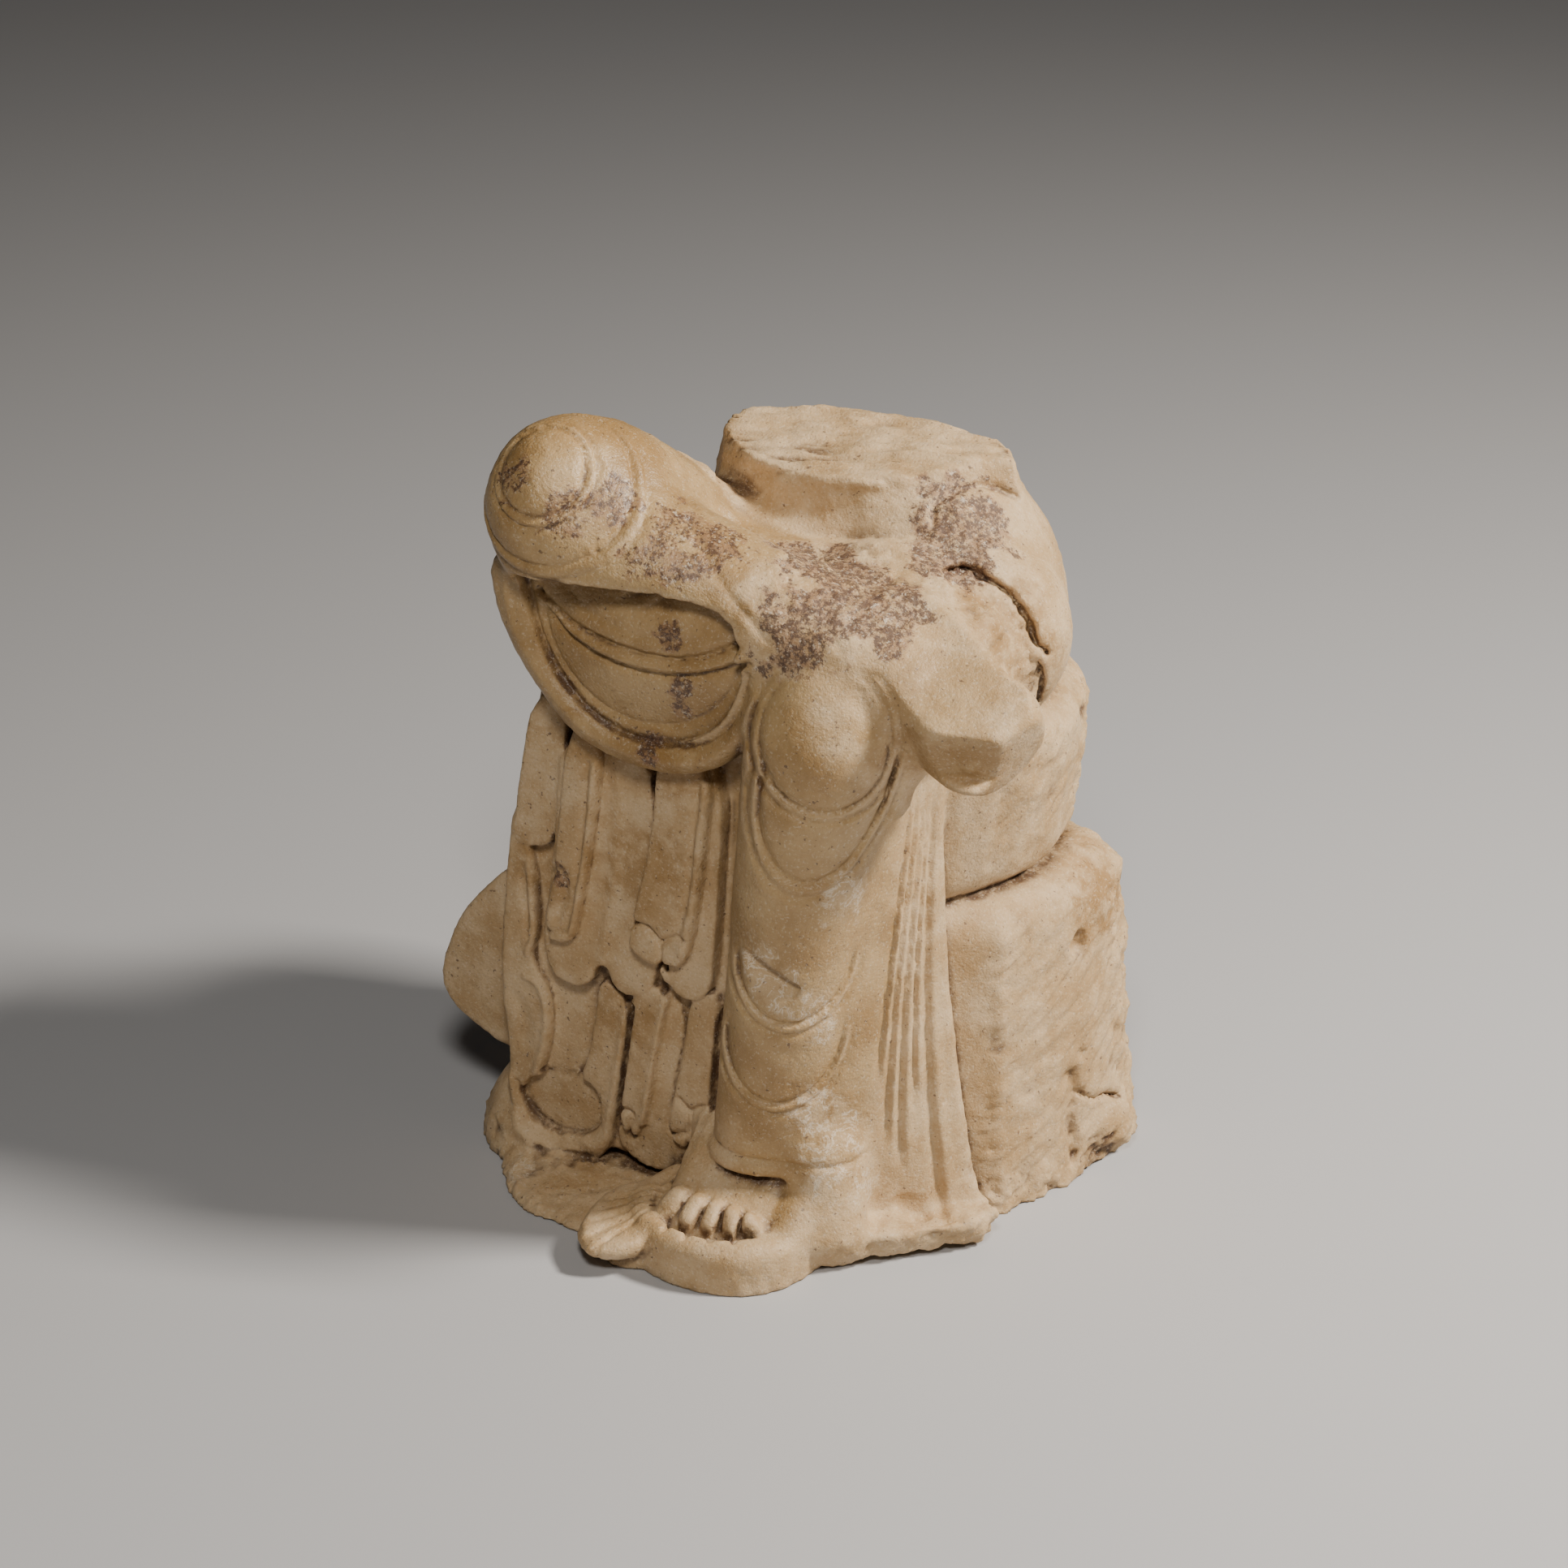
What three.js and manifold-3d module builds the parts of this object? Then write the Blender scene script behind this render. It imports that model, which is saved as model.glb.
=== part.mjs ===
// A broken marble figure seated on a rough stool, one leg hanging down and the other crossed over it.
// Everything is in millimetres. x runs to the viewer's right, y to the back, z up.
// The stone is one block, so it is carved here as one solid: forms are joined to and cut from
// a field of distances, the surface of the field is meshed, thinned out and cut off flat below.

import * as THREE from 'three';
import { mergeVertices } from 'three/addons/utils/BufferGeometryUtils.js';
import Module from 'manifold-3d';

// Driving dimensions: heights above the floor
const HEIGHT = 251.5;
const SEAT = 178;
const STOOL_SEAM = 113;
const KNEE_UP = 244;
const KNEE_DOWN = 187;
const SKIRT_TOP = 184;
const TROUSER_HEM = 31;
const BASE_TOP = 9;
const PAD_TOP = 17;
const LEDGE_TOP = 12;
const INSTEP = 29;
const BUD_TOP = 14;

// Driving dimensions: depths of the front faces, measured along y
const PANEL_FRONT = -40;
const FOLD_STEP = 2;
const SWAG_FRONT = -57;

// Driving dimensions: half widths and radii
const TORSO_WALL_LEAN = 0.2;
const HIP_RADIUS = 44.5;
const THIGH_RADIUS = 29;
const SHIN_RADIUS = 24;
const ANKLE_RADIUS = 16.6;
const SKIRT_EDGE_RADIUS = 4;

// The grid of the carving, the depth to which it runs below the floor, and the size of the mesh
const CELL = 3;
const BELOW = 8;
const UNDERSIDE = -BELOW - 4;
const FOLD_JOIN = 1.2;
const WANTED_TRIANGLES = 8800;
const BLOCK_LOW = [-142, -102, UNDERSIDE];
const BLOCK_HIGH = [98, 106, 284];
const FAR = 40;

const STONE_COLOUR = 0xcdbb9d;
const STONE_ROUGHNESS = 0.5;

// Outlines seen from above, as short rings of corners that are rounded afterwards
const STOOL_OUTLINE = [
  [65, -4], [79, 28], [84, 50], [84, 72], [74, 90], [40, 97], [-20, 97],
  [-62, 90], [-86, 66], [-92, 30], [-84, 0], [-60, -24], [0, -30],
];
const SEAT_OUTLINE = [
  [38, -8], [52, 4], [62, 30], [63, 48], [57, 72], [42, 84],
  [0, 86], [-50, 80], [-70, 58], [-76, 30], [-64, 0], [-30, -10],
];
const BASE_OUTLINE = [
  [-114, -18], [-111, -36], [-97, -50], [-82, -69], [-68, -77], [-50, -77], [-34, -84], [10, -80],
  [34, -52], [50, -22], [66, -4], [80, 30], [60, 60], [-60, 60], [-100, 30],
];
const LEDGE_OUTLINE = [
  [10, -66], [32, -60], [40, -48], [52, -41], [60, -32], [70, -22], [73, -10], [40, 0], [0, -30],
];
const FOOT_OUTLINE = [
  [-24, -40], [-21, -58], [-19, -72], [-14, -80], [-4, -81], [5, -79], [13, -76], [19, -71],
  [22, -62], [24, -45], [10, -34], [-12, -34],
];
const BUD_OUTLINE = [[-12, -58], [-33, -56], [-43, -67], [-42, -84], [-36, -95], [-27, -99], [-14, -90]];
const TORSO_OUTLINE = [
  [-58, 16], [-30, -2], [10, -2], [32, 14], [42, 27], [60, 40],
  [44, 62], [14, 66], [-20, 62], [-50, 50], [-61, 38],
];
const CORE_OUTLINE = [[-80, -22], [6, -30], [38, -14], [44, 0], [40, 30], [-80, 30]];

// Outlines seen from the front, as x and z
const PANEL_OUTLINE = [
  [-78, 200], [-87, 147], [-97, 100], [-99, 65], [-94, 48], [-97, 30],
  [-92, 14], [-60, 8], [-40, 12], [-16, 14], [-6, 90], [0, 200],
];
const SWAG_OUTLINE = [
  [-90, 228], [-88, 207], [-76, 187], [-59, 169], [-36, 163], [-14, 165],
  [2, 175], [12, 195], [15, 216], [0, 232], [-60, 238],
];
const SWAG_HOLLOW = [
  [-77, 226], [-73, 205], [-62, 187], [-46, 176], [-29, 174],
  [-12, 179], [0, 191], [6, 210], [0, 228], [-60, 228],
];
const FIN_OUTLINE = [
  [-134, 56], [-133, 46], [-126, 39], [-106, 30], [-80, 30],
  [-80, 110], [-105, 100], [-116, 89], [-126, 76],
];

// Hanging folds: middle at the hem, half width, top, hem height, hem roundness, steps forward
// of the panel, lean and widening per millimetre of height
const FOLDS = [
  [-84, 9, 165, 86, 4, 2.2, 0.10, 0.01],
  [-91, 8.5, 86, 28, 5, 1.6, 0.02, 0],
  [-69, 11, 165, 70.5, 9, 3, 0.02, 0],
  [-46.5, 11.5, 165, 71, 8, 3, 0.06, 0],
  [-71.5, 7.2, 165, 88, 4, 4.6, 0.10, 0],
  [-33, 11.5, 165, 89, 8, 4.8, 0.14, -0.015],
  [-25, 10.5, 165, 75, 10, 3.1, 0.10, 0],
  [-74, 21, 74, 6, 22, 1.2, 0, 0],
  [-38.5, 15.5, 76, 12, 11, 1, 0.02, 0],
  [-58, 6, 74, 24, 4, 2.2, 0.12, 0],
  [-47, 5.5, 76, 21, 5, 1.6, 0.16, 0],
  [-36.5, 4.5, 76, 28, 4, 2.3, 0.16, 0],
  [-24, 5.5, 80, 30, 6, 1.8, 0.11, 0],
];

// Toes: across at the root, across and along at the tip, and radius
const TOES = [
  [-12, -14, -77, 4.9], [-5.4, -5.6, -79, 4.1], [1, 2.2, -78, 3.9],
  [7.2, 9.6, -76, 3.7], [13.4, 16.2, -72.5, 3.3],
];

const clamp01 = (t) => Math.min(1, Math.max(0, t));

// Corner cutting: each pass puts two points on every side, a quarter in from its ends
function rounded(outline, passes = 2) {
  let ring = outline;
  for (let pass = 0; pass < passes; pass += 1) {
    ring = ring.flatMap(([u, v], i) => {
      const [s, t] = ring[(i + 1) % ring.length];
      return [[0.75 * u + 0.25 * s, 0.75 * v + 0.25 * t], [0.25 * u + 0.75 * s, 0.25 * v + 0.75 * t]];
    });
  }
  return ring;
}

// Distance to a closed outline, negative inside
function outlineDistance(ring, u, v) {
  let nearest = Infinity;
  let inside = false;
  for (let i = 0, j = ring.length - 1; i < ring.length; j = i, i += 1) {
    const [au, av] = ring[j];
    const [bu, bv] = ring[i];
    const eu = bu - au;
    const ev = bv - av;
    const along = clamp01(((u - au) * eu + (v - av) * ev) / (eu * eu + ev * ev));
    nearest = Math.min(nearest, (u - au - along * eu) ** 2 + (v - av - along * ev) ** 2);
    if ((av > v) !== (bv > v) && u < au + (eu * (v - av)) / ev) {
      inside = !inside;
    }
  }
  return inside ? -Math.sqrt(nearest) : Math.sqrt(nearest);
}

// Two distances at right angles make the distance to a form with an edge rounded by r
function roundedEdge(p, q, r) {
  return Math.hypot(Math.max(p + r, 0), Math.max(q + r, 0)) + Math.min(Math.max(p, q) + r, 0) - r;
}

function ringBox(ring) {
  const us = ring.map((p) => p[0]);
  const vs = ring.map((p) => p[1]);
  return [Math.min(...us), Math.max(...us), Math.min(...vs), Math.max(...vs)];
}

// Forms: each gives its distance at a point, and the box that holds it
function ball(centre, radii) {
  const [rx, ry, rz] = radii;
  return {
    low: centre.map((c, i) => c - radii[i]),
    high: centre.map((c, i) => c + radii[i]),
    at(x, y, z) {
      const [dx, dy, dz] = [x - centre[0], y - centre[1], z - centre[2]];
      const near = Math.hypot(dx / rx, dy / ry, dz / rz);
      const slope = Math.hypot(dx / rx ** 2, dy / ry ** 2, dz / rz ** 2);
      return (near * (near - 1)) / Math.max(slope, 1e-6);
    },
  };
}

function limb(from, to, startRadius, endRadius) {
  const [ex, ey, ez] = to.map((c, i) => c - from[i]);
  const lengthSquared = ex * ex + ey * ey + ez * ez;
  const widest = Math.max(startRadius, endRadius);
  return {
    low: from.map((c, i) => Math.min(c, to[i]) - widest),
    high: from.map((c, i) => Math.max(c, to[i]) + widest),
    at(x, y, z) {
      const [px, py, pz] = [x - from[0], y - from[1], z - from[2]];
      const t = clamp01((px * ex + py * ey + pz * ez) / lengthSquared);
      const radius = startRadius + (endRadius - startRadius) * t;
      return Math.hypot(px - t * ex, py - t * ey, pz - t * ez) - radius;
    },
  };
}

function slab(centre, half, r, degrees) {
  const angles = degrees.map(THREE.MathUtils.degToRad);
  const turn = new THREE.Matrix4().makeRotationFromEuler(new THREE.Euler(...angles, 'ZYX'));
  const back = turn.clone().transpose();
  const reach = Math.hypot(...half);
  const p = new THREE.Vector3();
  return {
    low: centre.map((c) => c - reach),
    high: centre.map((c) => c + reach),
    at(x, y, z) {
      p.set(x - centre[0], y - centre[1], z - centre[2]).applyMatrix4(back);
      const q = [p.x, p.y, p.z].map((c, i) => Math.abs(c) - half[i] + r);
      const outer = Math.hypot(...q.map((c) => Math.max(c, 0)));
      return outer + Math.min(Math.max(...q), 0) - r;
    },
  };
}

function drum(centre, halfX, halfY, bottom, top, power, r) {
  return {
    low: [centre[0] - halfX, centre[1] - halfY, bottom],
    high: [centre[0] + halfX, centre[1] + halfY, top],
    at(x, y, z) {
      const [dx, dy] = [x - centre[0], y - centre[1]];
      const rho = (Math.abs(dx / halfX) ** power + Math.abs(dy / halfY) ** power) ** (1 / power);
      const side = Math.hypot(dx, dy) * (1 - 1 / Math.max(rho, 1e-3));
      return roundedEdge(Math.max(side, -60), Math.max(bottom - z, z - top), r);
    },
  };
}

// An outline seen from above: walls lean in above the floor, the top is tilted along x and y
function plate(outline, bottom, top, r, { passes = 2, lean = 0, tilt = [0, 0] } = {}) {
  const ring = rounded(outline, passes);
  const [u0, u1, v0, v1] = ringBox(ring);
  const [middleU, middleV] = [(u0 + u1) / 2, (v0 + v1) / 2];
  const rise = (Math.abs(tilt[0]) * (u1 - u0) + Math.abs(tilt[1]) * (v1 - v0)) / 2;
  const foot = Math.max(bottom, 0);
  const grow = lean < 0 ? -lean * (top - foot) : lean * (foot - bottom);
  return {
    low: [u0 - grow, v0 - grow, bottom],
    high: [u1 + grow, v1 + grow, top + rise],
    at(x, y, z) {
      const side = outlineDistance(ring, x, y) + lean * (z - foot);
      const over = z - top - tilt[0] * (x - middleU) - tilt[1] * (y - middleV);
      return roundedEdge(side, Math.max(bottom - z, over), r);
    },
  };
}

// An outline seen from the front, thick from front to back
function flap(outline, front, back, r, passes = 2) {
  const ring = rounded(outline, passes);
  const [u0, u1, v0, v1] = ringBox(ring);
  return {
    low: [u0, front, v0],
    high: [u1, back, v1],
    at: (x, y, z) => roundedEdge(outlineDistance(ring, x, z), Math.max(front - y, y - back), r),
  };
}

// A strip of cloth that hangs flat and ends in a round hem
function fold(middle, halfWidth, top, hem, roundness, front, back, lean, widening, r = 1.5) {
  const reach = (Math.abs(lean) + Math.abs(widening)) * (top - hem);
  return {
    low: [middle - halfWidth - reach, front, hem],
    high: [middle + halfWidth + reach, back, top],
    at(x, y, z) {
      const across = Math.abs(x - middle - lean * (z - hem));
      const half = halfWidth + widening * (z - hem);
      const below = Math.min(z - hem - roundness, 0);
      const bowl = (Math.hypot(across / half, below / roundness) - 1) * Math.min(half, roundness);
      const side = below < 0 ? bowl : across - half;
      return roundedEdge(Math.max(side, z - top), Math.max(front - y, y - back), r);
    },
  };
}

// The part that two forms share
function shared(one, other) {
  return {
    low: one.low.map((c, i) => Math.max(c, other.low[i])),
    high: one.high.map((c, i) => Math.min(c, other.high[i])),
    at: (x, y, z) => Math.max(one.at(x, y, z), other.at(x, y, z)),
  };
}

// The skirt is stretched between the leg and its own loose border: at every height it is
// the straight taper from a circle round the leg to a small circle at the border
function skirtForm(top) {
  return {
    low: [-15, -75, UNDERSIDE],
    high: [78, 12, top],
    at(x, y, z) {
      const up = clamp01(z / 190);
      const legX = 10 + 21 * up;
      const legY = -42 + 2 * up;
      const legRadius = 16 + 2 * up;
      const borderX = 46 + 19 * (1 - clamp01(z / 150)) ** 2;
      const [ex, ey] = [borderX - legX, -9 - legY];
      const [px, py] = [x - legX, y - legY];
      const t = clamp01((px * ex + py * ey) / (ex * ex + ey * ey));
      const side = Math.hypot(px - t * ex, py - t * ey) - (legRadius + (SKIRT_EDGE_RADIUS - legRadius) * t);
      return Math.max(side, z - top);
    },
  };
}

// The block of stone: distances on a grid, joined and cut with soft transitions of width k
class Block {
  constructor(low, high, cell) {
    this.low = low;
    this.cell = cell;
    this.size = low.map((c, i) => Math.ceil((high[i] - c) / cell) + 1);
    this.values = new Float32Array(this.size[0] * this.size[1] * this.size[2]).fill(FAR);
  }

  each(low, high, change) {
    const from = this.low.map((c, i) => Math.max(0, Math.floor((low[i] - c) / this.cell)));
    const to = this.low.map((c, i) => Math.min(this.size[i] - 1, Math.ceil((high[i] - c) / this.cell)));
    for (let i = from[0]; i <= to[0]; i += 1) {
      for (let j = from[1]; j <= to[1]; j += 1) {
        for (let k = from[2]; k <= to[2]; k += 1) {
          const n = (i * this.size[1] + j) * this.size[2] + k;
          const place = [i, j, k].map((c, axis) => this.low[axis] + c * this.cell);
          this.values[n] = change(this.values[n], ...place);
        }
      }
    }
  }

  reach(form, k, change) {
    this.each(form.low.map((c) => c - k - CELL), form.high.map((c) => c + k + CELL), change);
  }

  add(form, k) {
    this.reach(form, k, (old, x, y, z) => {
      const value = form.at(x, y, z);
      const h = clamp01(0.5 + (0.5 * (value - old)) / k);
      return old + (value - old) * (1 - h) - k * h * (1 - h);
    });
  }

  cut(form, k) {
    this.reach(form, k, (old, x, y, z) => {
      const value = -form.at(x, y, z);
      const h = clamp01(0.5 + (0.5 * (old - value)) / k);
      return value + (old - value) * h + k * h * (1 - h);
    });
  }
}

function carveStool(block) {
  const lowerWall = { passes: 1, lean: 0.07, tilt: [-0.08, 0] };
  const upperWall = { passes: 1, lean: -0.11, tilt: [-0.1, 0] };
  block.add(plate(STOOL_OUTLINE, UNDERSIDE, STOOL_SEAM + 2, 12, lowerWall), 1);
  block.add(plate(SEAT_OUTLINE, STOOL_SEAM - 4, SEAT, 13, upperWall), 1);
  block.add(ball([76, 58, 12], [12.5, 15, 13]), 2);
}

function carveBase(block) {
  block.add(plate(BASE_OUTLINE, UNDERSIDE, BASE_TOP, 3, { lean: 0.6, tilt: [0, 0.1] }), 1);
  block.add(ball([-93, -16, 0], [25, 34, 30]), 4);
}

// The stone left between the leg, the hanging cloth and the stool
function carveCore(block) {
  block.add(plate(CORE_OUTLINE, UNDERSIDE, SKIRT_TOP + 6, 6), 3);
}

function carveBody(block) {
  const wall = { passes: 1, lean: TORSO_WALL_LEAN, tilt: [-0.03, 0.15] };
  block.add(ball([21, 36, 198], [HIP_RADIUS, 44, 52]), 4);
  block.add(ball([0, 36, 196], [50, 40, 42]), 6);
  block.add(slab([4, -12, 216], [42, 42, 13], 12, [8, 6, 0]), 5);
  block.add(slab([36, -20, 208], [30, 30, 14], 10, [20, 14, -8]), 8);
  block.add(plate(TORSO_OUTLINE, 206, HEIGHT, 1.2, wall), 6);
}

function carveFin(block) {
  block.add(flap(FIN_OUTLINE, -30, -8, 2, 1), 2);
}

// The crossed shin ends in a stump, a limb with flat broken sides and a flat break under its end
function carveLegs(block) {
  const ankle = limb([44, -22, 206], [77, -39, 196], 23, 20);
  const sides = slab([59.5, -31, 201], [33, 18, 15.5], 4, [28, 24, -17]);
  const lastBreak = slab([83, -60.6, 192.6], [32, 10, 16], 1, [27, 0, 17]);
  block.add(limb([-42, 10, 208], [-62, -36, 240], THIGH_RADIUS - 4, THIGH_RADIUS), 5);
  block.add(ball([-66, -47, KNEE_UP], [24, 25, 28]), 5);
  block.add(limb([-57, -44, KNEE_UP - 12], [42, -33, 204], 26, 20), 8);
  block.add(shared(ankle, sides), 5);
  block.cut(lastBreak, 1.5);
  block.add(limb([44, 20, 200], [40, -25, 192], 32, 24), 5);
  block.add(ball([28, -46, KNEE_DOWN + 1], [24.5, 21, 28]), 2.5);
  block.add(limb([27, -46, KNEE_DOWN - 2], [4, -44, TROUSER_HEM - 3], SHIN_RADIUS, ANKLE_RADIUS), 3);
  block.add(limb([50, -38, KNEE_DOWN + 17], [44, -36, KNEE_DOWN - 22], 11, 8), 7);
}

function carveSkirt(block) {
  block.add(skirtForm(SKIRT_TOP), 3);
}

function carveCurtain(block) {
  block.add(flap(PANEL_OUTLINE, PANEL_FRONT, 30, 2.5), 2);
  for (const [middle, half, top, hem, roundness, steps, lean, widening] of FOLDS) {
    const front = PANEL_FRONT - FOLD_STEP * steps;
    block.add(fold(middle, half, top, hem, roundness, front, front + 10, lean, widening), FOLD_JOIN);
  }
  block.cut(fold(-75, 15.5, 34, 13.5, 14, SWAG_FRONT, PANEL_FRONT + 0.5, 0, 0), 1);
}

function carveSwag(block) {
  block.add(flap(SWAG_OUTLINE, SWAG_FRONT, -30, 4), 2);
  block.cut(flap(SWAG_HOLLOW, SWAG_FRONT - 13, SWAG_FRONT + 3, 1), 1.5);
  block.add(ball([-34, -45, 205], [44, 14, 30]), 2);
}

function carvePad(block) {
  block.add(drum([-1, -59], 33, 30, -BELOW, PAD_TOP, 2.2, 6), 1.5);
  block.cut(drum([-1, -60], 23.5, 22, PAD_TOP - 4, TROUSER_HEM - 1, 2, 2), 2);
  block.add(plate(LEDGE_OUTLINE, 2, LEDGE_TOP, 2, { passes: 1, lean: -0.3 }), 3);
  block.add(ball([24, -48, 14], [13, 20, 13]), 4);
  block.add(ball([-25, -74, 0], [13, 15, 14]), 2);
  block.add(plate(BUD_OUTLINE, BUD_TOP - 8.5, BUD_TOP, 4, { lean: -0.15, tilt: [0.12, 0.12] }), 1.5);
}

function carveFoot(block) {
  block.add(plate(FOOT_OUTLINE, 6, INSTEP, 6, { lean: 0.1, tilt: [-0.1, 0.68] }), 2);
  for (const [root, tip, end, radius] of TOES) {
    block.add(limb([root, -70, 19.5], [tip, end + radius, 15.5 + radius / 3], radius, radius), 1);
  }
  block.add(limb([26, -42, TROUSER_HEM + 3], [34, -49, 12], 14, 10), 6);
  block.add(drum([4.8, -44], 18.8, 17.6, TROUSER_HEM - 1, TROUSER_HEM + 4, 2.1, 1.5), 1);
}

// The surface of the field. Each grid cube is cut into six tetrahedra round its long diagonal,
// which share their faces with the next cubes, so the mesh closes without a special case.
// A corner is a number from 0 to 7: bit 0 steps along x, bit 1 along y and bit 2 along z.
function tetrahedra() {
  const orders = [[0, 1, 2], [1, 2, 0], [2, 0, 1], [1, 0, 2], [0, 2, 1], [2, 1, 0]];
  return orders.map(([a, b], index) => {
    const first = 1 << a;
    const second = first | (1 << b);
    return index < 3 ? [0, first, second, 7] : [0, second, first, 7];
  });
}

// The twelve orders of a tetrahedron's corners that keep its handedness
const EVEN_ORDERS = [
  [0, 1, 2, 3], [0, 2, 3, 1], [0, 3, 1, 2], [1, 0, 3, 2], [1, 2, 0, 3], [1, 3, 2, 0],
  [2, 0, 1, 3], [2, 1, 3, 0], [2, 3, 0, 1], [3, 0, 2, 1], [3, 1, 0, 2], [3, 2, 1, 0],
];

// The triangles that cut one tetrahedron, as pairs of corners whose edge is crossed
function crossings(inside) {
  const count = inside.filter(Boolean).length;
  const wanted = count === 3 ? 'out' : 'in';
  const lead = count === 2 ? 2 : 1;
  const [a, b, c, d] = EVEN_ORDERS.find((order) => (
    order.slice(0, lead).every((corner) => inside[corner] === (wanted === 'in'))
  ));
  if (count === 1) {
    return [[[a, b], [a, c], [a, d]]];
  }
  if (count === 3) {
    return [[[a, b], [a, d], [a, c]]];
  }
  return [[[a, c], [a, d], [b, d]], [[a, c], [b, d], [b, c]]];
}

const TETRAHEDRA = tetrahedra();
const CASES = Array.from({ length: 16 }, (_, mask) => (
  mask === 0 || mask === 15 ? [] : crossings([0, 1, 2, 3].map((bit) => Boolean(mask & (1 << bit))))
));

function surfaceOf(block) {
  const { size, values, cell, low } = block;
  const stride = [size[1] * size[2], size[2], 1];
  const corner = Array.from({ length: 8 }, (_, n) => (
    (n & 1 ? stride[0] : 0) + (n & 2 ? stride[1] : 0) + (n & 4 ? stride[2] : 0)
  ));
  const points = [];
  const faces = [];
  const known = new Map();
  const placeOf = (n) => [
    low[0] + cell * Math.floor(n / stride[0]),
    low[1] + cell * (Math.floor(n / stride[1]) % size[1]),
    low[2] + cell * (n % size[2]),
  ];

  function crossing(n, p, q) {
    const [first, last] = p < q ? [p, q] : [q, p];
    const key = (n + corner[first]) * 8 + (last - first);
    if (!known.has(key)) {
      const [m, o] = [n + corner[first], n + corner[last]];
      const t = Math.min(0.98, Math.max(0.02, values[m] / (values[m] - values[o])));
      const [from, to] = [placeOf(m), placeOf(o)];
      known.set(key, points.length);
      points.push(from.map((c, axis) => c + (to[axis] - c) * t));
    }
    return known.get(key);
  }

  for (let i = 0; i < size[0] - 1; i += 1) {
    for (let j = 0; j < size[1] - 1; j += 1) {
      for (let k = 0; k < size[2] - 1; k += 1) {
        const n = i * stride[0] + j * stride[1] + k;
        const inside = corner.map((step) => values[n + step] < 0);
        if (inside.every(Boolean) || !inside.some(Boolean)) {
          continue;
        }
        for (const tetrahedron of TETRAHEDRA) {
          const mask = tetrahedron.reduce((sum, c, bit) => sum + (inside[c] ? 1 << bit : 0), 0);
          for (const triangle of CASES[mask]) {
            faces.push(triangle.map(([p, q]) => crossing(n, tetrahedron[p], tetrahedron[q])));
          }
        }
      }
    }
  }
  return { points, faces };
}

// Thinning out. A point keeps the planes of the faces it has stood for as a quadric, ten sums that
// give the weighted squared distance to all those planes at once.
const COLLAPSE_TURN = 0.15;
const LEAST_SHAPE = 0.03;
const LENGTH_COST = 1e-3;

const minus = (p, q) => [p[0] - q[0], p[1] - q[1], p[2] - q[2]];
const dot = (p, q) => p[0] * q[0] + p[1] * q[1] + p[2] * q[2];
const cross = (p, q) => [
  p[1] * q[2] - p[2] * q[1],
  p[2] * q[0] - p[0] * q[2],
  p[0] * q[1] - p[1] * q[0],
];

function addPlane(quadric, normal, offset, weight) {
  const plane = [...normal, offset];
  let n = 0;
  for (let i = 0; i < 4; i += 1) {
    for (let j = i; j < 4; j += 1) {
      quadric[n] += weight * plane[i] * plane[j];
      n += 1;
    }
  }
}

function quadricError(q, [x, y, z]) {
  return q[0] * x * x + q[4] * y * y + q[7] * z * z + q[9]
    + 2 * (q[1] * x * y + q[2] * x * z + q[5] * y * z + q[3] * x + q[6] * y + q[8] * z);
}

// The point with the least error, or the middle of the edge where the planes don't settle one
function bestPoint(q, from, to) {
  const middle = from.map((c, axis) => (c + to[axis]) / 2);
  const columns = [[q[0], q[1], q[2]], [q[1], q[4], q[5]], [q[2], q[5], q[7]]];
  const right = [-q[3], -q[6], -q[8]];
  const whole = dot(columns[0], cross(columns[1], columns[2]));
  const scale = (q[0] + q[4] + q[7]) / 3;
  if (Math.abs(whole) < 1e-3 * scale ** 3) {
    return middle;
  }
  const point = [
    dot(right, cross(columns[1], columns[2])) / whole,
    dot(columns[0], cross(right, columns[2])) / whole,
    dot(columns[0], cross(columns[1], right)) / whole,
  ];
  const edge = minus(to, from);
  const away = minus(point, middle);
  return dot(away, away) > dot(edge, edge) ? middle : point;
}

// A queue that always gives the cheapest offer first
class Queue {
  constructor() {
    this.items = [];
  }

  push(item) {
    const { items } = this;
    let n = items.length;
    items.push(item);
    while (n > 0) {
      const up = (n - 1) >> 1;
      if (items[up].cost <= item.cost) {
        break;
      }
      items[n] = items[up];
      n = up;
    }
    items[n] = item;
  }

  pop() {
    const { items } = this;
    const first = items[0];
    const last = items.pop();
    if (items.length > 0) {
      let n = 0;
      for (;;) {
        let down = 2 * n + 1;
        if (down >= items.length) {
          break;
        }
        if (down + 1 < items.length && items[down + 1].cost < items[down].cost) {
          down += 1;
        }
        if (items[down].cost >= last.cost) {
          break;
        }
        items[n] = items[down];
        n = down;
      }
      items[n] = last;
    }
    return first;
  }
}

// A triangle's normal, twice its area long, and how near it is to an even-sided one, from 0 to 1
function normalAndShape(p, q, r) {
  const [e, f, g] = [minus(q, p), minus(r, q), minus(p, r)];
  const normal = cross(e, f);
  const sides = dot(e, e) + dot(f, f) + dot(g, g);
  return [normal, (2 * Math.sqrt(3) * Math.sqrt(dot(normal, normal))) / sides];
}

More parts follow.
